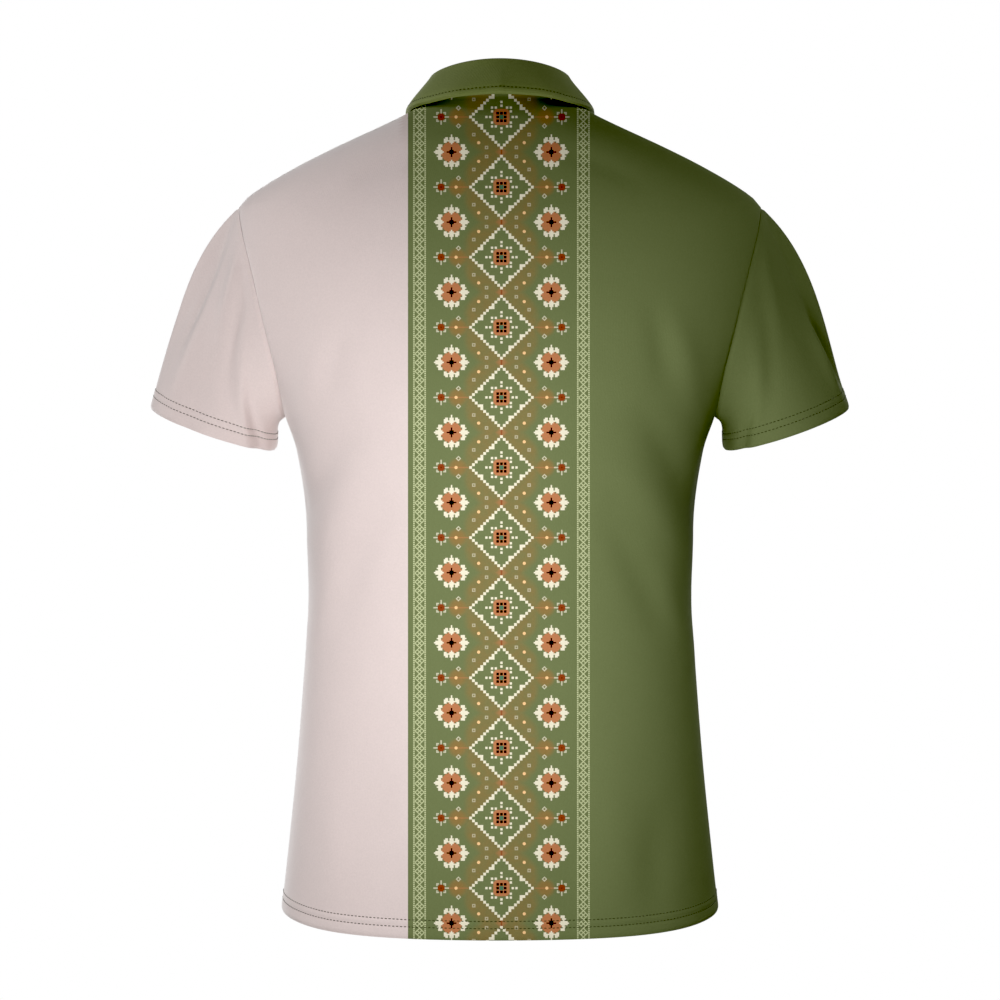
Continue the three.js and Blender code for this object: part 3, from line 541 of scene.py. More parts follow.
def coarse_edge(side):
    """Armhole edge of a panel at the solids' own steps: points, normals and the way out of the panel."""
    shares = np.linspace(0, 1, PANEL_STEPS + 1) if side == "back" else np.linspace(0, 1, PANEL_STEPS)
    k = np.arange(ARMHOLE_STEPS + 2)
    angle, z, edge = chest_coordinates(shares[None, -2:], k[:, None].astype(float), side)
    angle, z, edge = (np.broadcast_to(one, (len(k), 2)) for one in (angle, z, edge))
    if side == "front":
        shift = angle_of(SLIT_HALF / level_slice(z, side)[0])
        angle = shift + angle * (1 - shift / edge)
    points = panel_point(angle, z, side)
    below = panel_point(np.pi / 2 * shares[-2:], np.full(2, ROW_BELOW_ARMPIT_Z), side)[None]
    points = np.concatenate([below, points], 0)
    normals = grid_normals(points, flip=side == "back")
    normals[[1, ARMHOLE_STEPS + 1], 1, 1] = 0
    normals = unit(normals)
    outs = unit(points[:, 1] - points[:, 0])
    along = unit(points[2:, 1] - points[:-2, 1])
    middle = outs[1:-1]
    squared = unit(middle - along * np.sum(middle * along, -1, keepdims=True))
    return points[1:-1, 1], normals[1:-1, 1], middle, squared


def round_again(values, count):
    """Smooth periodic reading of a ring of values, with count steps between neighbours."""
    n = len(values)
    t = (np.arange(count) / count)[None, :, None]
    p0, p1, p2, p3 = (np.roll(values, shift, 0)[:, None] for shift in (1, 0, -1, -2))
    read = 0.5 * (
        2 * p1 + (p2 - p0) * t + (2 * p0 - 5 * p1 + 4 * p2 - p3) * t**2 + (3 * p1 - p0 - 3 * p2 + p3) * t**3
    )
    return read.reshape(n * count, -1)


def bezier(c0, c1, c2, c3, t):
    return (1 - t) ** 3 * c0 + 3 * (1 - t) ** 2 * t * c1 + 3 * (1 - t) * t**2 * c2 + t**3 * c3


@functools.cache
def sleeve_surface(name, crease_depth):
    """Outer points and normals of a sleeve, given for the wearer's left and mirrored for the right."""
    half = ARMHOLE_STEPS
    edges = {side: coarse_edge(side) for side in ("back", "front")}
    curves = []
    rims = []
    tilt, forward = math.radians(CUFF_TILT), math.radians(CUFF_FORWARD)
    across = np.array([math.cos(tilt), 0, math.sin(tilt)])
    down = np.array([math.sin(tilt), 0, -math.cos(tilt)])
    axis = down * math.cos(forward) + np.array([0, -math.sin(forward), 0])
    depth = np.array([0, math.cos(forward), 0]) + down * math.sin(forward)
    for c in range(SLEEVE_COLUMNS):
        turn = c / SLEEVE_COLUMNS * 2 * math.pi
        sides = ("back", "front") if c in (0, half) else (("back",) if c < half else ("front",))
        k = half - c if c <= half else c - half
        point = sum(edges[side][0][k] for side in sides) / len(sides)
        normal = unit(sum(edges[side][1][k] for side in sides))
        out = unit(sum(edges[side][2 if len(sides) == 2 else 3][k] for side in sides))
        low = (1 - math.cos(turn)) / 2
        leave = unit(out * (1 - low) + ARMPIT_LEAVE * low)
        start = point + leave * (SEAM_GAP + SEAM_TWIST_ROOM * (1 - low) ** 4)
        end = np.array(CUFF_CENTRE) + across * CUFF_HALF_WIDTH * math.cos(turn)
        end = end + depth * CUFF_HALF_DEPTH * math.sin(turn)
        chord = end - start
        reach = np.linalg.norm(chord)
        first = out * SEAM_SHARE * (1 - low) + unit(chord) * STRAIGHT_SHARE * (1 - low * low)
        first = unit(first + UNDERARM_OUT * low**2) * reach * SEAM_PULL
        curves.append(np.concatenate([start, start + first, end - axis * reach * CUFF_PULL, end]))
        rims.append(normal)
    curves = round_again(np.array(curves), SLEEVE_FINE).reshape(-1, 4, 3)
    rims = unit(round_again(np.array(rims), SLEEVE_FINE))
    grid = bezier(*(curves[None, :, i] for i in range(4)), SLEEVE_ROWS[:, None, None])
    normals = grid_normals(grid, wrap=True, flip=True)
    normals[0] = rims
    down_sleeve = run_length(grid, 0)
    from_cuff = run_length(grid[::-1], 0)[::-1]
    ring = 2 * math.pi * (CUFF_HALF_WIDTH + CUFF_HALF_DEPTH) / 2
    turns = np.arange(grid.shape[1]) / grid.shape[1] * ring
    table = LEFT_SLEEVE_CREASES if name == "sleeve_left" else RIGHT_SLEEVE_CREASES
    around = sum(crease_height(turns[None] + lap, down_sleeve, table) for lap in (-ring, 0, ring))
    lift = around * smoothstep(down_sleeve, *SLEEVE_FADE) * crease_depth
    lift = lift - rounded(down_sleeve, *SEAM_ROLL) + stitched_edge(from_cuff, CUFF_STITCHES)
    grid = grid + normals * lift[..., None]
    normals = grid_normals(grid, wrap=True, flip=True)
    normals[0] = rims
    if name == "sleeve_right":
        grid, normals = grid * (-1, 1, 1), normals * (-1, 1, 1)
    return grid, normals


leaf_edge = [column(LEAF_EDGE, 0, axis) for axis in (1, 2, 3)]


def neck_seam(angle):
    side = "back" if angle <= 90 else "front"
    turn, z = neckline(np.float64(angle / 90 if angle <= 90 else (180 - angle) / 90), side)
    return panel_point(turn, z, side)


def fold_top(angle):
    turn = math.radians(angle)
    depth = FOLD_BACK_Y if angle <= 90 else FOLD_FRONT_Y
    share = min(max((angle - FOLD_DROP_START) / (180 - FOLD_DROP_START), 0), 1)
    drop = math.sin(share * math.pi / 2) ** 2
    top = FOLD_TOP_Z - FOLD_ARCH * math.sin(math.radians(min(angle, 90))) ** 2
    height = top + (FOLD_FRONT_Z - top) * drop
    return np.array([FOLD_HALF_WIDTH * math.sin(turn), depth * math.cos(turn), height])


def collar_column(angle):
    """The visible face of one column: up the inside of the neck, over the fold and down the leaf."""
    seam, top = neck_seam(angle), fold_top(angle)
    edge = np.array([float(read(angle)) for read in leaf_edge])
    turn = math.radians(angle)
    along = unit(fold_top(angle + 1) - fold_top(angle - 1))
    out = np.array([math.sin(turn) / FOLD_HALF_WIDTH, math.cos(turn) / FOLD_BACK_Y, 0])
    out = unit(out - along * np.dot(out, along))
    up = unit(np.cross(along, out))
    centre = top - up * FOLD_RADIUS
    fold_start = centre - out * FOLD_RADIUS
    rise = unit(fold_start + out * COLLAR_CLOTH - seam)
    face = unit(out - rise * np.dot(out, rise))
    foot = seam + rise * STAND_SEAM_GAP - face * COLLAR_CLOTH
    t = np.linspace(0, 1, STAND_ROWS)[:, None]
    stand = foot + (fold_start - foot) * t - out * STAND_BOW * np.sin(np.pi * t)
    bend = np.linspace(0, math.radians(FOLD_TURN), BEND_ROWS)[:, None]
    leaf = centre - out * FOLD_RADIUS * np.cos(bend) + up * (FOLD_SEAM_GAP + FOLD_RADIUS * np.sin(bend))
    fall = leaf[-1]
    reach = np.linalg.norm(edge - fall)
    begins = (out * LEAF_LEAVE_OUT - up * LEAF_LEAVE_DOWN) * reach * LEAF_PULL
    ends = (unit(edge - fall) - out * LEAF_TUCK) * reach * LEAF_PULL
    t = np.concatenate([np.linspace(0, 1, FALL_ROWS)[1:-1], [0.982, 1]])[:, None]
    return stand, np.concatenate([leaf, bezier(fall, fall + begins, edge - ends, edge, t)])


# Soft waves of the collar leaf: angle, way down, direction, half length, half width, height, bow
LEAF_CREASES = (
    (-64, 22, 84, 30, 12, -1.0, 2),
    (-28, 26, 92, 30, 16, 0.8, 0),
    (18, 24, 88, 30, 15, -0.7, 0),
    (56, 24, 98, 32, 12, 1.0, -2),
    (100, 26, 80, 30, 12, -1.1, 3),
    (-104, 26, 96, 32, 12, -1.0, -3),
)


@functools.cache
def collar_surfaces(crease_depth):
    """Outer points and normals of the stand and of the leaf."""
    angles = np.linspace(-COLLAR_END, COLLAR_END, 2 * COLLAR_COLUMNS + 1)
    columns = [collar_column(abs(angle)) for angle in angles]
    signs = np.where(angles < 0, -1, 1)
    mirror = np.stack([signs, np.ones_like(signs), np.ones_like(signs)], -1)
    stand = np.stack([one[0] for one in columns], 1) * mirror
    leaf = np.stack([one[1] for one in columns], 1) * mirror
    stand_normals = grid_normals(stand)
    leaf_normals = grid_normals(leaf)
    leaf_normals[0] = stand_normals[-1]
    from_edge = run_length(leaf[::-1], 0)[::-1]
    down_leaf = run_length(leaf, 0)
    lift = crease_height(angles[None], down_leaf, LEAF_CREASES) * smoothstep(down_leaf, *LEAF_FADE)
    lift = lift * crease_depth - stitch_dent(from_edge, LEAF_STITCH, LEAF_DENT_WIDTH)
    lift = lift - rounded(from_edge, *LEAF_ROUND)
    leaf = leaf + leaf_normals * lift[..., None]
    leaf_normals = grid_normals(leaf)
    leaf_normals[0] = stand_normals[-1]
    roll = rounded(run_length(stand, 0), *SEAM_ROLL) * STAND_ROLL_SHARE
    stand = stand - stand_normals * roll[..., None]
    return stand, stand_normals, leaf, leaf_normals


def front_point(x, z, depth):
    """A point behind the outer face of the front panel, at a distance from the middle line."""
    x, z = np.broadcast_arrays(np.asarray(x, float), np.asarray(z, float))

    def on_face(px, pz):
        return panel_point(np.sign(px) * angle_of(np.abs(px) / level_slice(pz, "front")[0]), pz, "front")

    rise = on_face(x, z + PROBE) - on_face(x, z - PROBE)
    across = on_face(x + PROBE, z) - on_face(x - PROBE, z)
    normal = unit(np.cross(across, rise))
    return on_face(x, z) - normal * np.asarray(depth, float)[..., None]


def length_property(name, description, default):
    return bpy.props.FloatProperty(
        name=name, description=description, default=default, unit="LENGTH", subtype="DISTANCE"
    )


class ShirtClothSettings(bpy.types.PropertyGroup):
    """Sizes of the cloth and its sewing."""

    cloth: length_property("Cloth", "Thickness of the knit", 0.0015)
    collar_cloth: length_property("Collar cloth", "Thickness of the collar", 0.0024)
    crease_depth: bpy.props.FloatProperty(
        name="Crease depth", description="Share of the placed creases' depth", default=1.0, min=0.0, max=2.0,
        subtype="FACTOR",
    )
    stitch_length: length_property("Stitch length", "Length of one stitch that shows", 0.0023)
    stitch_gap: length_property("Stitch gap", "Cloth that shows between two stitches", 0.0011)
    thread_radius: length_property("Thread radius", "Half the thickness of the sewing thread", 0.00036)


def linear(*display):
    """Scene colour of a display colour given from 0 to 255."""
    shares = [value / 255 for value in display]
    return tuple(s / 12.92 if s <= 0.04045 else ((s + 0.055) / 1.055) ** 2.4 for s in shares)


def colour_property(name, description, red, green, blue):
    return bpy.props.FloatVectorProperty(
        name=name, description=description, default=linear(red, green, blue), size=3, min=0, max=1,
        subtype="COLOR",
    )


class ShirtColours(bpy.types.PropertyGroup):
    """Colours of the cloth, print, thread and zip."""

    pale: colour_property("Pale knit", "The pale half", 227, 212, 209)
    green: colour_property("Green knit", "The green half", 120, 129, 92)
    inside: colour_property("Inside", "The wrong side of the knit", 196, 190, 172)
    inside_green: colour_property("Inside green", "The wrong side of the green knit", 92, 100, 62)
    collar: colour_property("Collar", "The collar knit", 124, 133, 88)
    thread: colour_property("Thread", "Sewing thread on the pale half", 70, 64, 50)
    thread_green: colour_property("Thread on green", "Sewing thread on the green half", 62, 70, 32)
    tape: colour_property("Zip tape", "The woven zip tapes", 75, 83, 48)
    metal: colour_property("Zip metal", "The slider, tab and stop", 148, 146, 138)
    cream: colour_property("Cream", "Palest stitches of the print", 238, 232, 208)
    peach: colour_property("Peach", "Dots of the print", 250, 205, 150)
    orange: colour_property("Orange brown", "Centres of the diamonds", 190, 130, 94)
    brown: colour_property("Brown haze", "The brown ground beside the diamonds", 170, 120, 72)
    red_brown: colour_property("Red brown", "Small stars of the print", 148, 78, 54)
    dark: colour_property("Near black", "Darkest stitches of the print", 42, 20, 12)
    teal: colour_property("Teal", "Middle stitch of each diamond", 90, 125, 100)
    lattice: colour_property("Lattice", "Side strips of the print", 206, 212, 168)


# The knit: share of y in the wales' place, courses to a wale, and how much of each shows beside the yarn
WALE_SLANT = 0.7
COURSES_PER_WALE = 1.3
WALE_SHARE = 0.1
COURSE_SHARE = 0.06
# Mottling of a knit, the fuzz of the pale knit and of the wrong side, and where pale cloth and pale thread
# begin, in metres
KNIT_MOTTLE = 0.07
PALE_SHEEN = 0.9
INSIDE_SHEEN = 0.1
PALE_FROM_X = 0.0
PALE_THREAD_FROM_X = 0.0745
WEAVE_TURN = 5200.0
METAL_ROUGHNESS = (0.26, 0.44)


def add_node(tree, kind, inputs=None, **settings):
    """A new node with its settings, and with values, fields or sockets on its inputs."""
    node = tree.nodes.new("ShaderNode" + kind)
    for name, value in settings.items():
        setattr(node, name, value)
    for place, value in (inputs or {}).items():
        join(tree, value, node.inputs[place])
    return node


def join(tree, value, place):
    if isinstance(value, Field):
        value = value.socket
    if isinstance(value, bpy.types.NodeSocket):
        tree.links.new(value, place)
    else:
        place.default_value = value


def worked_by(operation):
    """A method that gives one Math node of this field and its other values."""

    def work(self, *others):
        return self.math(operation, self, *others)

    return work


class Field:
    """A number that varies over the cloth, worked out by Math nodes."""

    def __init__(self, tree, socket):
        self.tree = tree
        self.socket = socket

    def math(self, operation, *values):
        node = add_node(self.tree, "Math", dict(enumerate(values)), operation=operation)
        return Field(self.tree, node.outputs[0])

    __add__ = worked_by("ADD")
    __sub__ = worked_by("SUBTRACT")
    __mul__ = worked_by("MULTIPLY")
    __truediv__ = worked_by("DIVIDE")
    size = worked_by("ABSOLUTE")
    nearest = worked_by("ROUND")
    floor = worked_by("FLOOR")
    folded = worked_by("PINGPONG")
    least = worked_by("MINIMUM")
    most = worked_by("MAXIMUM")
    below = worked_by("LESS_THAN")
    above = worked_by("GREATER_THAN")
    to_power = worked_by("POWER")
    remainder = worked_by("MODULO")
    sine = worked_by("SINE")

    def near(self, value, room=0.5):
        return self.math("COMPARE", self, value, room)

    def between(self, low, high):
        return self.near((low + high) / 2, (high - low) / 2)

    def soft_below(self, low, high):
        """One below low, none above high, with a smooth change between."""
        inputs = {"Value": self, "From Min": low, "From Max": high, "To Min": 1, "To Max": 0}
        node = add_node(self.tree, "MapRange", inputs, interpolation_type="SMOOTHSTEP")
        return Field(self.tree, node.outputs["Result"])


class Finish:
    """One finish of the shirt: a shader with its colour and relief."""

    def __init__(self, name, roughness, metallic=0.0, sheen=0.0, sheen_roughness=0.5, specular=0.3):
        self.material = bpy.data.materials.new(name)
        self.material.use_nodes = True
        self.tree = self.material.node_tree
        self.shader = self.tree.nodes["Principled BSDF"]
        for place, value in (
            ("Roughness", roughness), ("Metallic", metallic), ("Sheen Weight", sheen),
            ("Sheen Roughness", sheen_roughness), ("Specular IOR Level", specular),
        ):
            self.shade(place, value)
        self.place = self.node("TexCoord").outputs["Object"]

    def node(self, kind, inputs=None, **settings):
        return add_node(self.tree, kind, inputs, **settings)

    def shade(self, place, value):
        join(self.tree, value, self.shader.inputs[place])

    def axes(self, socket):
        split = self.node("SeparateXYZ", {0: socket})
        return [Field(self.tree, split.outputs[i]) for i in range(3)]

    def noise(self, scale, detail=2.0, place=None, roughness=0.5):
        inputs = {"Scale": scale, "Detail": detail, "Roughness": roughness, "Vector": place or self.place}
        return Field(self.tree, self.node("TexNoise", inputs).outputs["Fac"])

    def mixed(self, under, over, share, blend="MIX"):
        """over laid on under by a share. Colours are sockets or fixed colours."""
        node = self.node("Mix", {"Factor": share}, data_type="RGBA", blend_type=blend)
        for name, value in (("A_Color", under), ("B_Color", over)):
            place = next(one for one in node.inputs if one.identifier == name)
            join(self.tree, value if isinstance(value, bpy.types.NodeSocket) else (*value, 1.0), place)
        return next(one for one in node.outputs if one.identifier == "Result_Color")

    def colour(self, colour, amount, scale=620.0):
        """A colour with fine mottling of the yarn and slow unevenness of the dye."""
        fine = self.noise(scale, 3.0, roughness=0.6)
        slow = self.noise(38.0)
        light = fine * (2 * amount) + slow * (0.5 * amount) + (1.0 - 1.25 * amount)
        grey = self.node("CombineColor", {0: light, 1: light, 2: light})
        self.shade("Base Color", self.mixed(colour, grey.outputs["Color"], 1.0, "MULTIPLY"))

    def relief(self, height, distance, strength):
        node = self.node("Bump", {"Distance": distance, "Strength": strength, "Height": height})
        self.shade("Normal", node.outputs["Normal"])

    def knit_relief(self, pitch, distance, strength):
        """Upright wales of a jersey knit with the yarn's own roughness."""
        x, y, z = self.axes(self.place)
        turn = 2 * math.pi / (pitch * MM)
        wales = ((x + y * WALE_SLANT) * turn).sine()
        courses = (z * (turn * COURSES_PER_WALE)).sine()
        self.relief(wales * WALE_SHARE + courses * COURSE_SHARE + self.noise(900.0), distance, strength)


def knit(name, shade, sheen=0.0, sheen_roughness=0.5):
    """A jersey knit. shade gives its colour, as a fixed one or as a socket of the finish."""
    made = Finish(name, 0.9, sheen=sheen, sheen_roughness=sheen_roughness, specular=0.12)
    made.colour(shade(made), KNIT_MOTTLE)
    made.knit_relief(1.5, 0.00022, 0.5)
    return made.material


def plain_knit(colour_name, sheen):
    return lambda name, colours: knit(name, lambda made: getattr(colours, colour_name)[:], sheen, 0.45)


def inside_finish(name, colours):
    """The wrong side: pale on the wearer's left and green on the right, parted at the middle line."""

    def shade(made):
        x = made.axes(made.place)[0]
        return made.mixed(colours.inside_green[:], colours.inside[:], x.above(PALE_FROM_X))

    return knit(name, shade)


def printed_back(name, colours):
    """The back: pale on the left, the printed band in the middle and green on the right."""

    def shade(made):
        u, v, _ = made.axes(made.node("UVMap", uv_map="Print").outputs["UV"])
        u = (u - BAND_MIDDLE_X) / PRINT_UNIT
        v = (v - DIAMOND_MIDDLE_V) / PRINT_UNIT
        green = colours.green[:]
        plain = made.mixed(green, printed_cloth(made, u, v, green, colours), u.size().below(PATTERN_HALF))
        return made.mixed(plain, colours.pale[:], u.above(BAND_HALF))

    return knit(name, shade)


def thread_finish(name, colours):
    made = Finish(name, 0.6, sheen=0.2, specular=0.35)
    x = made.axes(made.place)[0]
    shown = made.mixed(colours.thread_green[:], colours.thread[:], x.above(PALE_THREAD_FROM_X))
    made.colour(shown, 0.12, 1500.0)
    made.relief(made.noise(2600.0, 1.0), 0.00012, 0.6)
    return made.material


def collar_finish(name, colours):
    made = Finish(name, 0.88, sheen=0.12, specular=0.15)
    made.colour(colours.collar[:], 0.10, 560.0)
    made.knit_relief(2.0, 0.0003, 0.6)
    return made.material


def tape_finish(name, colours):
    made = Finish(name, 0.8, specular=0.2)
    made.colour(colours.tape[:], 0.12, 1100.0)
    x, _, z = made.axes(made.place)
    weave = ((x + z) * WEAVE_TURN).sine() * 0.5 + ((x - z) * WEAVE_TURN).sine() * 0.5
    made.relief(weave, 0.00015, 0.6)
    return made.material


def coil_finish(name, colours):
    made = Finish(name, 0.45, specular=0.45)
    made.colour(colours.tape[:], 0.08, 1400.0)
    made.relief(made.noise(1800.0, 1.0), 0.00005, 0.5)
    return made.material


def metal_finish(name, colours):
    """Brushed metal, with its grain running up and down."""
    made = Finish(name, 0.34, metallic=1.0, specular=0.5)
    made.colour(colours.metal[:], 0.06, 900.0)
    low, high = METAL_ROUGHNESS
    made.shade("Roughness", made.noise(700.0) * (high - low) + low)
    brushed = made.node("Mapping", {"Scale": (1.0, 1.0, 0.12), "Vector": made.place}).outputs["Vector"]
    made.relief(made.noise(1400.0, place=brushed), 0.00004, 0.5)
    return made.material


FINISHES = {
    "knit_back": printed_back,
    "knit_inside": inside_finish,
    "knit_pale": plain_knit("pale", PALE_SHEEN),
    "knit_pale_inside": plain_knit("inside", INSIDE_SHEEN),
    "knit_green": plain_knit("green", 0.0),
    "knit_green_inside": plain_knit("inside_green", INSIDE_SHEEN),
    "collar_knit": collar_finish,
    "sewing_thread": thread_finish,
    "zip_tape": tape_finish,
    "zip_coil": coil_finish,
    "zip_metal": metal_finish,
}


@functools.cache
def finish_named(name):
    """The material of a finish, built once from the colour settings and shared by its pieces."""
    return FINISHES[name](name, bpy.context.scene.shirt_colours)


# The printed band is laid out in units of the photo's own scale, from the middle of the band and of a
# diamond: one unit is this many millimetres on the cloth
PRINT_UNIT = 0.8225
BAND_MIDDLE_X = -1.2
BAND_HALF = 93.5
PATTERN_HALF = 88.5
DIAMOND_PERIOD = 70.1
DIAMOND_HALF = DIAMOND_PERIOD / 2
DIAMOND_MIDDLE_V = CAMERA_Z + 383 * PRINT_UNIT

# Diamond outline: its stitches' pitch and half size, the outline's line and the two ears of each side
COARSE = 2.804
COARSE_HALF = 0.52
OUTLINE_SUM = 11
EARS = ((7, 3), (3, 7))
# Motif in the diamond's middle: pitch of its stitches, half width and slant of its field and its dots
INNER = 1.88
FIELD_HALF = 4.3
FIELD_SLANT = 7.2
TEAL_HALF = 1.1
DARK_HALF = 0.36
BRIGHT_HALF = 0.62
BRIGHT_DOTS = ((5, 3), (3, 5), (5, 5), (6, 0), (0, 6), (8, 0), (0, 8))
# Marks between the diamonds: across and along
PEACH_DOTS = ((22.8, 25.7), (45.4, 0.0))
PEACH_RADIUS = 1.6
HOLLOW_SQUARES = ((27.7, 17.6), (14.9, 30.5))
HOLLOW_SIZES = (0.7, 1.7)
HOLLOW_DIAMOND = (43, 9)
HOLLOW_DIAMOND_SIZES = (1.3, 2.7)
HALO_ACROSS = 44
HALO_FADE = (12, 120)
HAZE_SLANT = (50, 62)
HAZE_ACROSS = (31, 40)
TINT_FADE = (2, 8)
AXIS_LINE_HALF = 0.8
AXIS_LINE_ALONG = (31, 37)
SIDE_LINE_HALF = 0.6
SIDE_LINE_ACROSS = (33, 54)
# Side strips: middle and half width of the lattice, its line and step, and the dotted lines beside it
LATTICE_MIDDLE = 81.9
LATTICE_HALF = 4.6
LATTICE_LINE = 0.15
LATTICE_STEP = 4.385
STRIP_EDGES = (76.3, 87.5)
STRIP_EDGE_HALF = 0.75
STRIP_DOT_PITCH = 1.9
STRIP_DOT_HALF = 0.32
# Quarter charts of the rosette and the star, from their middles
FINE = 1.41
ROSETTE_AT = (49.9, DIAMOND_HALF)
STAR_AT = (60.3, 0.0)
ROSETTE_CHART = (
    "kkkkooccccccc", "kkoooooccccc.", "kooooooocc...", "koooooo.ccc..", "oooooooccc...", "oooooo.ccc...",
    "coooo........", "cco.cc.......", "cccccc.......", "cc.ccc.......", "cc.cc........", "c............",
    "c............",
)
STAR_CHART = ("nrreee", "rrr...", "rr.e..", "e.ee..", "e.....", "e.....")


def chart_bits(finish, across, along, chart, letters):
    """For each letter, one where the chart shows it: a ramp holds each row of the chart as bits."""
    column_number = (across / FINE).size().nearest()
    row_number = (along / FINE).size().nearest()
    ramp = finish.node("ValToRGB", {"Fac": (row_number + 0.5) / (len(chart) + 1)})
    ramp.color_ramp.interpolation = "CONSTANT"
    stops = ramp.color_ramp.elements
    for row, line in enumerate((*chart, "")):
        stop = stops[row] if row < 2 else stops.new(row / (len(chart) + 1))
        stop.position = row / (len(chart) + 1)
        numbers = [sum(2.0**i for i, mark in enumerate(line) if mark == letter) for letter in letters]
        stop.color = (*numbers, 1.0)
    split = finish.node("SeparateColor", {0: ramp.outputs["Color"]})
    power = column_number.math("POWER", 2.0, column_number)
    found = []
    for output in split.outputs:
        bits = (Field(finish.tree, output) / power).floor()
        found.append(bits.remainder(2.0).above(0.5))
    return found


def printed_cloth(finish, u, v, green, colours):
    """Colour of the band: diamonds of cross stitch on green, rosettes, small stars and two side strips."""
    across = u.size()
    along = v.folded(DIAMOND_HALF)

    def from_point(place):
        return across - place[0], along - place[1]

    # Diamond outline in coarse stitches
    cell_u, cell_v = across / COARSE, along / COARSE
    i, j = cell_u.nearest(), cell_v.nearest()
    inside_cell = (cell_u - i).size().most((cell_v - j).size()).below(COARSE_HALF)
    (near_i, near_j), (far_i, far_j) = EARS
    ears = (i.near(near_i) * j.near(near_j)).most(i.near(far_i) * j.near(far_j))
    outline = (i + j).near(OUTLINE_SUM).most(ears) * inside_cell * across.below(OUTLINE_SUM * COARSE + 2)

    # Motif in the diamond's middle: a brown field, eight dark stitches round a teal one and bright dots
    inner_u, inner_v = across / INNER, along / INNER
    far = inner_u.most(inner_v)
    field = far.below(FIELD_HALF) * (inner_u + inner_v).below(FIELD_SLANT)
    pair_u, pair_v = inner_u / 2, inner_v / 2
    off_u, off_v = (pair_u - pair_u.nearest()).size(), (pair_v - pair_v.nearest()).size()
    dark = off_u.most(off_v).below(DARK_HALF) * pair_u.nearest().most(pair_v.nearest()).near(1)
    bright = functools.reduce(Field.most, (
        (inner_u - x).size().most((inner_v - y).size()).below(BRIGHT_HALF) for x, y in BRIGHT_DOTS
    ))

    # Brown haze outside the diamonds and round the dots, and thin lines between the motifs
    slant = across + along
    haze = slant.soft_below(*HAZE_SLANT) * slant.above(OUTLINE_SUM * COARSE) * across.soft_below(*HAZE_ACROSS)
    halo_u = across - HALO_ACROSS
    halo = (halo_u * halo_u + along * along).soft_below(*HALO_FADE)
    tint = (across + (along - DIAMOND_HALF).size()).soft_below(*TINT_FADE)
    axis_line = across.below(AXIS_LINE_HALF) * along.between(*AXIS_LINE_ALONG)
    side_line = along.below(SIDE_LINE_HALF) * across.between(*SIDE_LINE_ACROSS)

    # Small marks: hollow squares, a hollow diamond and round dots
    hollow = []
    low, high = HOLLOW_SIZES
    for place in HOLLOW_SQUARES:
        x, y = from_point(place)
        square = x.size().most(y.size())
        hollow.append(square.below(high) * square.above(low) * 0.42)
    x, y = from_point(HOLLOW_DIAMOND)
    small = x.size() + y.size()
    low, high = HOLLOW_DIAMOND_SIZES
    hollow.append(small.below(high) * small.above(low) * 0.62)
    dots = []
    for place in PEACH_DOTS:
        x, y = from_point(place)
        dots.append((x.size().to_power(2.0) + y.size().to_power(2.0)).below(PEACH_RADIUS**2))
    rosette = chart_bits(finish, *from_point(ROSETTE_AT), ROSETTE_CHART, "koc")
    star_red, star_dark, star_cream = chart_bits(finish, *from_point(STAR_AT), STAR_CHART, "rne")

    # Side strips: a lattice between two dotted lines
    p = ((across - LATTICE_MIDDLE) / LATTICE_HALF).size()
    q = v.folded(LATTICE_STEP) / LATTICE_STEP
    lattice = (p + q - 1).size().below(LATTICE_LINE) * p.below(1.0)
    lattice = lattice.most((p - q).size().below(LATTICE_LINE) * (p + q).below(1.0))
    inner_edge, outer_edge = ((across - x).size() for x in STRIP_EDGES)
    place = v / STRIP_DOT_PITCH
    dotted = (place - place.nearest()).size().below(STRIP_DOT_HALF)
    dotted = dotted * inner_edge.least(outer_edge).below(STRIP_EDGE_HALF)

    haze = haze * (finish.noise(150.0) * 0.8 + 0.25)
    shown = green
    for colour, share in (
        (colours.brown, haze * 0.42),
        (colours.brown, halo * 0.5),
        (colours.orange, tint * 0.55),
        (colours.orange, field),
        (colours.teal, far.below(TEAL_HALF)),
        (colours.dark, dark),
        (colours.cream, bright),
        (colours.red_brown, axis_line * 0.7),
        (colours.orange, side_line * 0.5),
        *zip((colours.dark, colours.orange, colours.cream), rosette),
        (colours.red_brown, star_red.most(star_dark)),
        (colours.dark, star_dark * 0.45),
        (colours.cream, star_cream * 0.62),
        *((colours.cream, mark) for mark in hollow),
        *((colours.peach, mark) for mark in dots),
        (colours.lattice, lattice * 0.85),
        (colours.lattice, dotted * 0.95),
        (colours.cream, outline),
    ):
        shown = finish.mixed(shown, colour, share)
    return shown


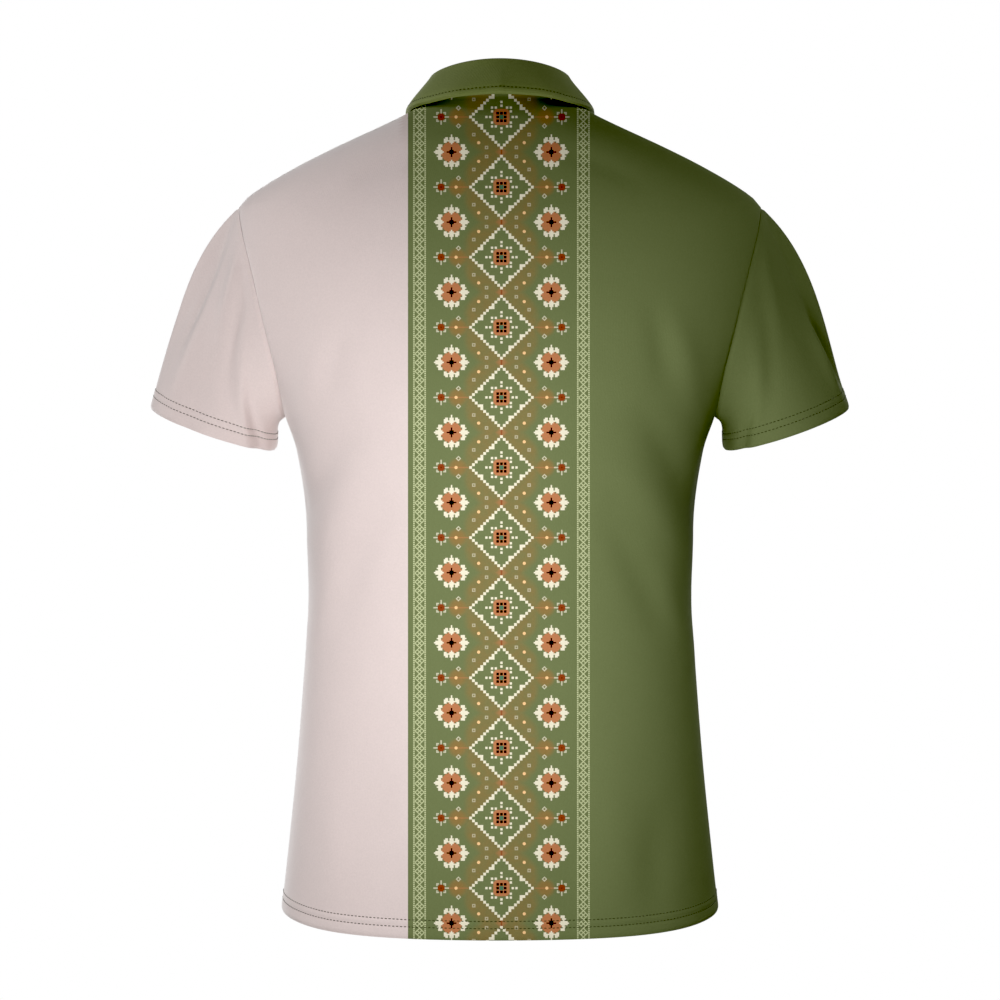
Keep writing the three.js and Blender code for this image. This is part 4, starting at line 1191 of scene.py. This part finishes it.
class Shell:
    """A closed cloth wall over a grid of outer points, with maps for its print and its finish."""

    OUTER = ((0.01, 0.65), (0.01, 0.99))
    INNER = ((0.69, 0.99), (0.01, 0.99))
    RIM = (0.658, 0.682)

    def __init__(self, grid, normals, thickness, wrap=False, flip=False, keep=None):
        self.rows, self.cols = grid.shape[:2]
        self.wrap, self.flip = wrap, flip
        self.outer = grid
        self.inner = grid - normals * thickness
        quad_cols = self.cols if wrap else self.cols - 1
        self.kept = np.ones((self.rows - 1, quad_cols), bool) if keep is None else keep
        self.faces, self.places, self.finishes = [], [], []

    def corner(self, sheet, r, c):
        return (sheet * self.rows + r) * self.cols + (c % self.cols if self.wrap else c)

    def map_rect(self, rect, r, c):
        (left, right), (low, high) = rect
        return np.stack([
            left + (right - left) * c / self.kept.shape[1],
            low + (high - low) * r / (self.rows - 1),
        ], -1)

    def add(self, corners, places, finish):
        if self.flip:
            corners, places = corners[::-1], places[::-1]
        self.faces.append(np.stack(corners, -1))
        self.places.append(np.stack(places, 1))
        self.finishes.append(np.full(len(corners[0]), finish))

    def add_rims(self):
        kept = self.kept
        blank_row = np.zeros((1, kept.shape[1]), bool)
        blank_col = np.zeros((kept.shape[0], 1), bool)
        below = np.concatenate([blank_row, kept[:-1]], 0)
        above = np.concatenate([kept[1:], blank_row], 0)
        if self.wrap:
            before, after = np.roll(kept, 1, 1), np.roll(kept, -1, 1)
        else:
            before = np.concatenate([blank_col, kept[:, :-1]], 1)
            after = np.concatenate([kept[:, 1:], blank_col], 1)
        sides = (
            (kept & ~below, ((0, 0, 0), (1, 0, 0), (1, 0, 1), (0, 0, 1))),
            (kept & ~above, ((0, 1, 1), (1, 1, 1), (1, 1, 0), (0, 1, 0))),
            (kept & ~before, ((0, 1, 0), (1, 1, 0), (1, 0, 0), (0, 0, 0))),
            (kept & ~after, ((0, 0, 1), (1, 0, 1), (1, 1, 1), (0, 1, 1))),
        )
        total = sum(int(mask.sum()) for mask, _ in sides)
        done = 0
        for mask, offsets in sides:
            r, c = np.nonzero(mask)
            corners = [self.corner(sheet, r + dr, c + dc) for sheet, dr, dc in offsets]
            low = 0.01 + 0.98 * (done + np.arange(len(r))) / max(total, 1)
            high = low + 0.98 / max(total, 1)
            left, right = np.full(len(r), self.RIM[0]), np.full(len(r), self.RIM[1])
            places = [
                np.stack([left, low], -1), np.stack([right, low], -1),
                np.stack([right, high], -1), np.stack([left, high], -1),
            ]
            self.add(corners, places, 2)
            done += len(r)

    def build(self, name, materials, pale_from=None):
        """The mesh. Outer faces further left than pale_from on the print's map take the fourth finish."""
        r, c = np.nonzero(self.kept)
        around = ((0, 0), (0, 1), (1, 1), (1, 0))
        self.add(
            [self.corner(0, r + dr, c + dc) for dr, dc in around],
            [self.map_rect(self.OUTER, r + dr, c + dc) for dr, dc in around], 0,
        )
        back = around[::-1]
        self.add(
            [self.corner(1, r + dr, c + dc) for dr, dc in back],
            [self.map_rect(self.INNER, r + dr, c + dc) for dr, dc in back], 1,
        )
        self.add_rims()
        faces = np.concatenate(self.faces)
        points = np.concatenate([self.outer.reshape(-1, 3), self.inner.reshape(-1, 3)])
        used, faces = np.unique(faces, return_inverse=True)
        faces = faces.reshape(-1, 4)
        points = points[used]
        mesh = bpy.data.meshes.new(name)
        mesh.from_pydata((points * MM).tolist(), [], faces.tolist())
        loops = faces.reshape(-1)
        bake = mesh.uv_layers.new(name="OFBake")
        bake.data.foreach_set("uv", np.concatenate(self.places).reshape(-1))
        shown = mesh.uv_layers.new(name="Print")
        shown.data.foreach_set("uv", print_place(points)[loops].reshape(-1))
        for material in materials:
            mesh.materials.append(material)
        finishes = np.concatenate(self.finishes).astype(np.int32)
        if pale_from is not None:
            left = print_place(points)[faces][..., 0].min(1) > pale_from
            finishes[left & (finishes == 0)] = 3
        mesh.polygons.foreach_set("material_index", finishes)
        mesh.polygons.foreach_set("use_smooth", np.ones(len(faces), bool))
        mesh.update()
        mesh.set_sharp_from_angle(angle=math.radians(55))
        return mesh


def print_place(points):
    """Place of each point on the printed plane, in millimetres, as the photo's view carries it there."""
    scale = (CAMERA_Y - PRINT_PLANE_Y) / (CAMERA_Y - points[:, 1])
    return np.stack([points[:, 0] * scale, (points[:, 2] - CAMERA_Z) * scale + CAMERA_Z], -1)


def put(name, mesh, body=SHIRT_BODY, nodes=()):
    """Makes the object of a mesh, on its body and the solids that it stands for."""
    piece = bpy.data.objects.new(name, mesh)
    bpy.context.scene.collection.objects.link(piece)
    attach(piece, body)
    if nodes:
        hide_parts(*nodes)
    return piece


def along_line(points, normals, stitch, gap):
    """Middles, directions and outward directions of stitches placed one after another on a line."""
    lengths = np.concatenate([[0], np.cumsum(np.linalg.norm(np.diff(points, axis=0), axis=-1))])
    count = max(int((lengths[-1] - gap) / (stitch + gap)), 1)
    pitch = lengths[-1] / count
    middles = (np.arange(count) + 0.5) * pitch

    def read(values, at):
        return np.stack([np.interp(at, lengths, values[:, axis]) for axis in range(3)], -1)

    place = read(points, middles)
    forward = unit(read(points, middles + stitch / 2) - read(points, middles - stitch / 2))
    return place, forward, unit(read(normals, middles))


# Rings of one stitch: place along it, width and lift, as shares of its half length and its radius
THREAD_STATIONS = (
    (-1.0, 0.35, -0.35), (-0.72, 0.85, 0.12), (0.0, 1.0, 0.3), (0.72, 0.85, 0.12), (1.0, 0.35, -0.35),
)
THREAD_SIDES = 6


def threads_mesh(name, lines, radius, material, length=None):
    """Joined short stitches along lines of (points, normals) in millimetres."""
    settings = bpy.context.scene.shirt_cloth
    stitch = length or settings.stitch_length / MM
    gap = settings.stitch_gap / MM
    half = stitch / 2
    stations, sides = THREAD_STATIONS, THREAD_SIDES
    vertices, faces = [], []
    base = 0
    for points, normals in lines:
        place, forward, outward = along_line(points, normals, stitch, gap)
        beside = unit(np.cross(forward, outward))
        turns = np.arange(sides) / sides * 2 * math.pi
        rings = []
        for along, wide, lift in stations:
            middle = place + forward * along * half + outward * radius * lift
            rings.append(np.stack([
                middle + radius * wide * (beside * math.cos(turn) + outward * math.sin(turn))
                for turn in turns
            ], 1))
        block = np.stack(rings, 1)
        count = len(block)
        vertices.append(block.reshape(-1, 3))
        starts = base + np.arange(count) * len(stations) * sides
        for s in range(len(stations) - 1):
            for t in range(sides):
                a, b = s * sides + t, s * sides + (t + 1) % sides
                faces.append(np.stack([starts + a, starts + b, starts + b + sides, starts + a + sides], -1))
        base += count * len(stations) * sides
    points = np.concatenate(vertices)
    quads = np.concatenate(faces).tolist()
    ends = []
    per = len(stations) * sides
    for start in range(0, base, per):
        ends.append([start + t for t in range(sides)][::-1])
        ends.append([start + per - sides + t for t in range(sides)])
    mesh = bpy.data.meshes.new(name)
    mesh.from_pydata((points * MM).tolist(), [], quads + ends)
    mesh.materials.append(material)
    mesh.polygons.foreach_set("use_smooth", np.ones(len(mesh.polygons), bool))
    mesh.update()
    return mesh


def line_at(grid, normals, distance):
    """The line on a grid at a distance from its first row."""
    lengths = run_length(grid, 0)

    def read(values):
        return np.array([
            [np.interp(distance, lengths[:, c], values[:, c, axis]) for axis in range(3)]
            for c in range(grid.shape[1])
        ])

    return read(grid), unit(read(normals))


def cloth_piece(name, node, shell, finishes, slot, pale_from=None, **sheet):
    materials = [finish_named(finish) for finish in finishes]
    piece = put(name, shell.build(name, materials, pale_from), nodes=(node,))


class ShirtBack(bpy.types.Operator):
    """The back panel with its printed band."""

    bl_idname = "shirt.back"
    bl_label = "Back"

    def execute(self, context):
        settings = context.scene.shirt_cloth
        grid, normals, _ = panel_surface("back", settings.crease_depth)
        cloth_piece(
            "back_panel", "back", Shell(grid, normals, settings.cloth / MM, flip=True),
            ("knit_back", "knit_inside", "knit_back", "knit_pale"), "knit_back",
            BAND_MIDDLE_X + BAND_HALF * PRINT_UNIT + BAND_ROOM,
            flat=BACK_CUT, held="hung", rests_on=["collar_stand", "sleeve_left", "sleeve_right", "front"],
            area=BACK_AREA,
        )
        return {"FINISHED"}


class ShirtFront(bpy.types.Operator):
    """The front panel, slit for the zip."""

    bl_idname = "shirt.front"
    bl_label = "Front"

    def execute(self, context):
        settings = context.scene.shirt_cloth
        grid, normals, slit_row = panel_surface("front", settings.crease_depth)
        keep = np.ones((grid.shape[0] - 1, grid.shape[1] - 1), bool)
        middle = grid.shape[1] // 2
        keep[slit_row:, middle - 1: middle + 1] = False
        cloth_piece(
            "front_panel", "front", Shell(grid, normals, settings.cloth / MM, keep=keep),
            ("knit_green", "knit_inside", "knit_inside", "knit_pale"), "knit_front", FRONT_PALE_FROM,
            flat=FRONT_CUT, held="hung", rests_on=["collar_stand", "sleeve_left", "sleeve_right", "back"],
            area=FRONT_AREA,
        )
        return {"FINISHED"}


class ShirtSleeves(bpy.types.Operator):
    """Both sleeves: pale on the wearer's left, green on the right."""

    bl_idname = "shirt.sleeves"
    bl_label = "Sleeves"

    def execute(self, context):
        settings = context.scene.shirt_cloth
        for name, slot in (("sleeve_left", "knit_pale"), ("sleeve_right", "knit_green")):
            grid, normals = sleeve_surface(name, settings.crease_depth)
            shell = Shell(grid, normals, settings.cloth / MM, wrap=True, flip=name == "sleeve_left")
            cloth_piece(
                name + "_cloth", name, shell, (slot, slot + "_inside", slot), slot,
                flat=SLEEVE_CUT, held="hung", rests_on=["back", "front"], area=SLEEVE_AREA,
            )
        return {"FINISHED"}


class ShirtCollar(bpy.types.Operator):
    """The collar: a stand inside the neck and a leaf folded over it."""

    bl_idname = "shirt.collar"
    bl_label = "Collar"

    def execute(self, context):
        settings = context.scene.shirt_cloth
        stand, stand_normals, leaf, leaf_normals = collar_surfaces(settings.crease_depth)
        knit_names = ("collar_knit",) * 3
        shell = Shell(stand, stand_normals, settings.collar_cloth / MM)
        cloth_piece(
            "collar_stand_cloth", "collar_stand", shell, knit_names, "collar_knit",
            flat=STAND_CUT, held="hung", rests_on=["back", "front"], area=STAND_AREA,
        )
        shell = Shell(leaf, leaf_normals, settings.collar_cloth / MM)
        shell.inner[-1] = shell.inner[-1] + unit(leaf[-1] - leaf[-3]) * LEAF_UNDER_EDGE
        cloth_piece(
            "collar_leaf_cloth", "collar_leaf", shell, knit_names, "collar_knit",
            flat=LEAF_CUT, held="folded", rests_on=["collar_stand"], area=LEAF_AREA,
        )
        return {"FINISHED"}


class ShirtSewing(bpy.types.Operator):
    """Rows of stitches at the hem, the cuffs, the collar and beside the zip."""

    bl_idname = "shirt.sewing"
    bl_label = "Sewing"

    def execute(self, context):
        settings = context.scene.shirt_cloth
        depth = settings.crease_depth
        thread = finish_named("sewing_thread")

        def sew(name, lines):
            mesh = threads_mesh(name, lines, settings.thread_radius / MM, thread)
            put(name, mesh)

        for side in ("back", "front"):
            grid, normals, _ = panel_surface(side, depth)
            sew("hem_thread_" + side, [line_at(grid, normals, distance) for distance in HEM_STITCHES])
        for side in ("left", "right"):
            sleeve = sleeve_surface("sleeve_" + side, depth)
            ring = [np.concatenate([one, one[:, :1]], 1)[::-1] for one in sleeve]
            sew("cuff_thread_" + side, [line_at(*ring, distance) for distance in CUFF_STITCHES])
        _, _, leaf, leaf_normals = collar_surfaces(depth)
        sew("collar_thread", [line_at(leaf[::-1], leaf_normals[::-1], LEAF_STITCH)])
        grid, normals, slit_row = panel_surface("front", depth)
        middle = grid.shape[1] // 2
        lines = []
        for columns in (range(middle + 1, middle + 6), range(middle - 1, middle - 6, -1)):
            beside = [one[slit_row:, list(columns)].transpose(1, 0, 2) for one in (grid, normals)]
            line, outward = line_at(*beside, SLIT_STITCH)
            lines.append((line[2:-3], outward[2:-3]))
        sew("zip_thread", lines)
        return {"FINISHED"}


def metal_copy(name, node, bevel, body):
    """The solid of a hard piece with its edges rounded."""
    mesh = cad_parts[node].data.copy()
    mesh.name = name
    mesh.materials.clear()
    mesh.materials.append(finish_named("zip_metal"))
    piece = put(name, mesh, body, (node,))
    welded = piece.modifiers.new("welded", "WELD")
    welded.merge_threshold = METAL_WELD
    rounded = piece.modifiers.new("rounded", "BEVEL")
    rounded.width = bevel * MM
    rounded.segments = 2
    rounded.limit_method = "ANGLE"
    rounded.angle_limit = math.radians(40)
    view = bpy.context.evaluated_depsgraph_get()
    bpy.context.view_layer.update()
    final = bpy.data.meshes.new_from_object(piece.evaluated_get(view))
    final.name = name
    piece.modifiers.clear()
    piece.data = final
    final.polygons.foreach_set("use_smooth", np.ones(len(final.polygons), bool))
    final.update()
    final.set_sharp_from_angle(angle=math.radians(35))


class ShirtZip(bpy.types.Operator):
    """The zip: two tapes, the coil teeth, the slider, the bottom stop and the pull tab."""

    bl_idname = "shirt.zip"
    bl_label = "Zip"

    def execute(self, context):
        heights = np.linspace(TAPE_BOTTOM_Z, TAPE_TOP_Z, TAPE_ROWS)
        across = np.linspace(TAPE_INNER_X, TAPE_OUTER_X, TAPE_COLUMNS)
        for node, sign in (("zip_tape_left", 1), ("zip_tape_right", -1)):
            grid = front_point(sign * across[None, :], heights[:, None], TAPE_DEPTH)
            shell = Shell(grid, grid_normals(grid, flip=sign < 0), TAPE_THICK, flip=sign < 0)
            cloth_piece(
                node + "_cloth", node, shell, ("zip_tape",) * 3, "zip_tape",
                flat=TAPE_CUT, held="hung", rests_on=["front"],
            )
        lines = []
        for number, height in enumerate(np.arange(TEETH_BOTTOM_Z, TEETH_TOP_Z, TOOTH_PITCH)):
            sign = 1 if number % 2 else -1
            ends = np.array([sign * TOOTH_OUTER_X, -sign * TOOTH_INNER_X])
            slope = np.array([height - TOOTH_SLOPE, height + TOOTH_SLOPE])
            line = front_point(ends, slope, np.full(2, TOOTH_DEPTH))
            outward = unit(front_point(ends, slope, np.zeros(2)) - front_point(ends, slope, np.ones(2)))
            lines.append((line, outward))
        length = TOOTH_OUTER_X + TOOTH_INNER_X
        mesh = threads_mesh("zip_coil_teeth", lines, TOOTH_RADIUS, finish_named("zip_coil"), length=length)
        put("zip_coil_teeth", mesh)
        metal_copy("slider_metal", "zip_slider", 0.22, SHIRT_BODY)
        metal_copy("stop_metal", "zip_stop", 0.2, SHIRT_BODY)
        metal_copy("pull_tab_metal", "zip_pull_tab", 0.25, TAB_BODY)
        return {"FINISHED"}


# Flat cuts of the pieces in metres: width, length and area
BACK_CUT = (0.545, 0.720)
BACK_AREA = 0.336
FRONT_CUT = (0.545, 0.715)
FRONT_AREA = 0.320
SLEEVE_CUT = (0.420, 0.195)
SLEEVE_AREA = 0.042
STAND_CUT = (0.480, 0.032)
STAND_AREA = 0.0115
LEAF_CUT = (0.550, 0.078)
LEAF_AREA = 0.0234
TAPE_CUT = (0.0127, 0.160)

# Where the pale finish begins beyond the band, and on the front
BAND_ROOM = 2
FRONT_PALE_FROM = -0.01
METAL_WELD = 0.00002

SLIT_STITCH = 2.6
TEETH_BOTTOM_Z = -220.6
TEETH_TOP_Z = -91.4
TOOTH_PITCH = 0.85
TOOTH_OUTER_X = 1.9
TOOTH_INNER_X = 0.7
TOOTH_SLOPE = 0.18
TOOTH_DEPTH = 1.35
TOOTH_RADIUS = 0.48

FLOOR_Z = -1.3
FLOOR_RADIUS = 1.45
FLOOR_CORNERS = 96
FLOOR_COLOUR = (0.86, 0.86, 0.85)


class ShirtStage(bpy.types.Operator):
    """The camera at the photo's view, soft lights, a pale floor and a white surround."""

    bl_idname = "shirt.stage"
    bl_label = "Stage"

    def execute(self, context):
        scene = context.scene
        camera_data = bpy.data.cameras.new("camera")
        camera_data.lens = CAMERA_LENS
        camera_data.sensor_width = SENSOR_WIDTH
        camera = bpy.data.objects.new("camera", camera_data)
        camera.location = (0, CAMERA_Y * MM, CAMERA_Z * MM)
        camera.rotation_euler = (math.radians(90), 0, math.radians(180))
        scene.collection.objects.link(camera)
        scene.camera = camera
        scene.view_settings.view_transform = "Standard"
        scene.view_settings.use_curve_mapping = True
        scene.view_settings.curve_mapping.black_level = (BLACK_LEVEL,) * 3
        scene.view_settings.curve_mapping.update()
        for name, place, size, power in LIGHTS:
            light_data = bpy.data.lights.new(name, "AREA")
            light_data.shape = "SQUARE"
            light_data.size = size
            light_data.energy = power
            light = bpy.data.objects.new(name, light_data)
            light.location = place
            light.visible_camera = False
            aim = Vector((0, 0, LIGHT_AIM_Z)) - Vector(place)
            light.rotation_euler = aim.to_track_quat("-Z", "Y").to_euler()
            scene.collection.objects.link(light)
        world = bpy.data.worlds.new("surround")
        scene.world = world
        world.use_nodes = True
        tree = world.node_tree
        tree.nodes.clear()
        white = (1, 1, 1, 1)
        seen = add_node(tree, "LightPath").outputs["Is Camera Ray"]
        low, full = (
            add_node(tree, "Background", {"Color": white, "Strength": strength}).outputs[0]
            for strength in (SURROUND_LIGHT, 1.0)
        )
        mix = add_node(tree, "MixShader", {0: seen, 1: low, 2: full})
        add_node(tree, "OutputWorld", {"Surface": mix.outputs[0]})
        turns = np.linspace(0, 2 * math.pi, FLOOR_CORNERS, endpoint=False)
        points = [(FLOOR_RADIUS * math.cos(t), FLOOR_RADIUS * math.sin(t), FLOOR_Z) for t in turns]
        mesh = bpy.data.meshes.new("floor")
        mesh.from_pydata(points, [], [list(range(FLOOR_CORNERS))])
        made = Finish("floor", 0.8, specular=0.1)
        made.colour(FLOOR_COLOUR, 0.015, 40.0)
        mesh.materials.append(made.material)
        floor = bpy.data.objects.new("floor", mesh)
        scene.collection.objects.link(floor)
        return {"FINISHED"}


# Lights: name, place in metres, width of the square in metres and power in watts
LIGHTS = (
    ("key_light", (-0.03, 0.58, -0.40), 0.4, 2.15),
    ("pale_side_light", (0.82, 0.94, -0.38), 0.5, 4.7),
    ("green_side_light", (-0.82, 0.94, -0.3), 0.5, 0.2),
    ("top_light_left", (1.0, -0.15, 0.6), 0.6, 7.0),
    ("top_light_right", (-1.0, -0.15, 0.6), 0.6, 5.0),
    ("front_light_left", (0.8, -1.4, -0.2), 0.8, 14.0),
    ("front_light_right", (-0.8, -1.4, -0.2), 0.8, 9.0),
)
LIGHT_AIM_Z = -0.38
BLACK_LEVEL = 0.037
SURROUND_LIGHT = 0.06


class ShirtPanel(bpy.types.Panel):
    """Lists the pieces of the shirt and their settings."""

    bl_idname = "VIEW3D_PT_shirt"
    bl_label = "Zip polo shirt"
    bl_space_type = "VIEW_3D"
    bl_region_type = "UI"
    bl_category = "Shirt"

    def draw(self, context):
        layout = self.layout
        for settings in (context.scene.shirt_cloth, context.scene.shirt_colours):
            for name in settings.bl_rna.properties.keys():
                if name not in ("rna_type", "name"):
                    layout.prop(settings, name)
        for operator in PIECES:
            layout.operator(operator.bl_idname)


PIECES = (ShirtStage, ShirtBack, ShirtFront, ShirtSleeves, ShirtCollar, ShirtSewing, ShirtZip)
CLASSES = (ShirtClothSettings, ShirtColours, *PIECES, ShirtPanel)


def register():
    for one in CLASSES:
        bpy.utils.register_class(one)
    bpy.types.Scene.shirt_cloth = bpy.props.PointerProperty(type=ShirtClothSettings)
    bpy.types.Scene.shirt_colours = bpy.props.PointerProperty(type=ShirtColours)


def unregister():
    del bpy.types.Scene.shirt_colours
    del bpy.types.Scene.shirt_cloth
    for one in reversed(CLASSES):
        bpy.utils.unregister_class(one)


def main():
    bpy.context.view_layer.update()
    register()
    for operator in PIECES:
        group, name = operator.bl_idname.split(".")
        getattr(getattr(bpy.ops, group), name)()


if __name__ == "__main__":
    main()
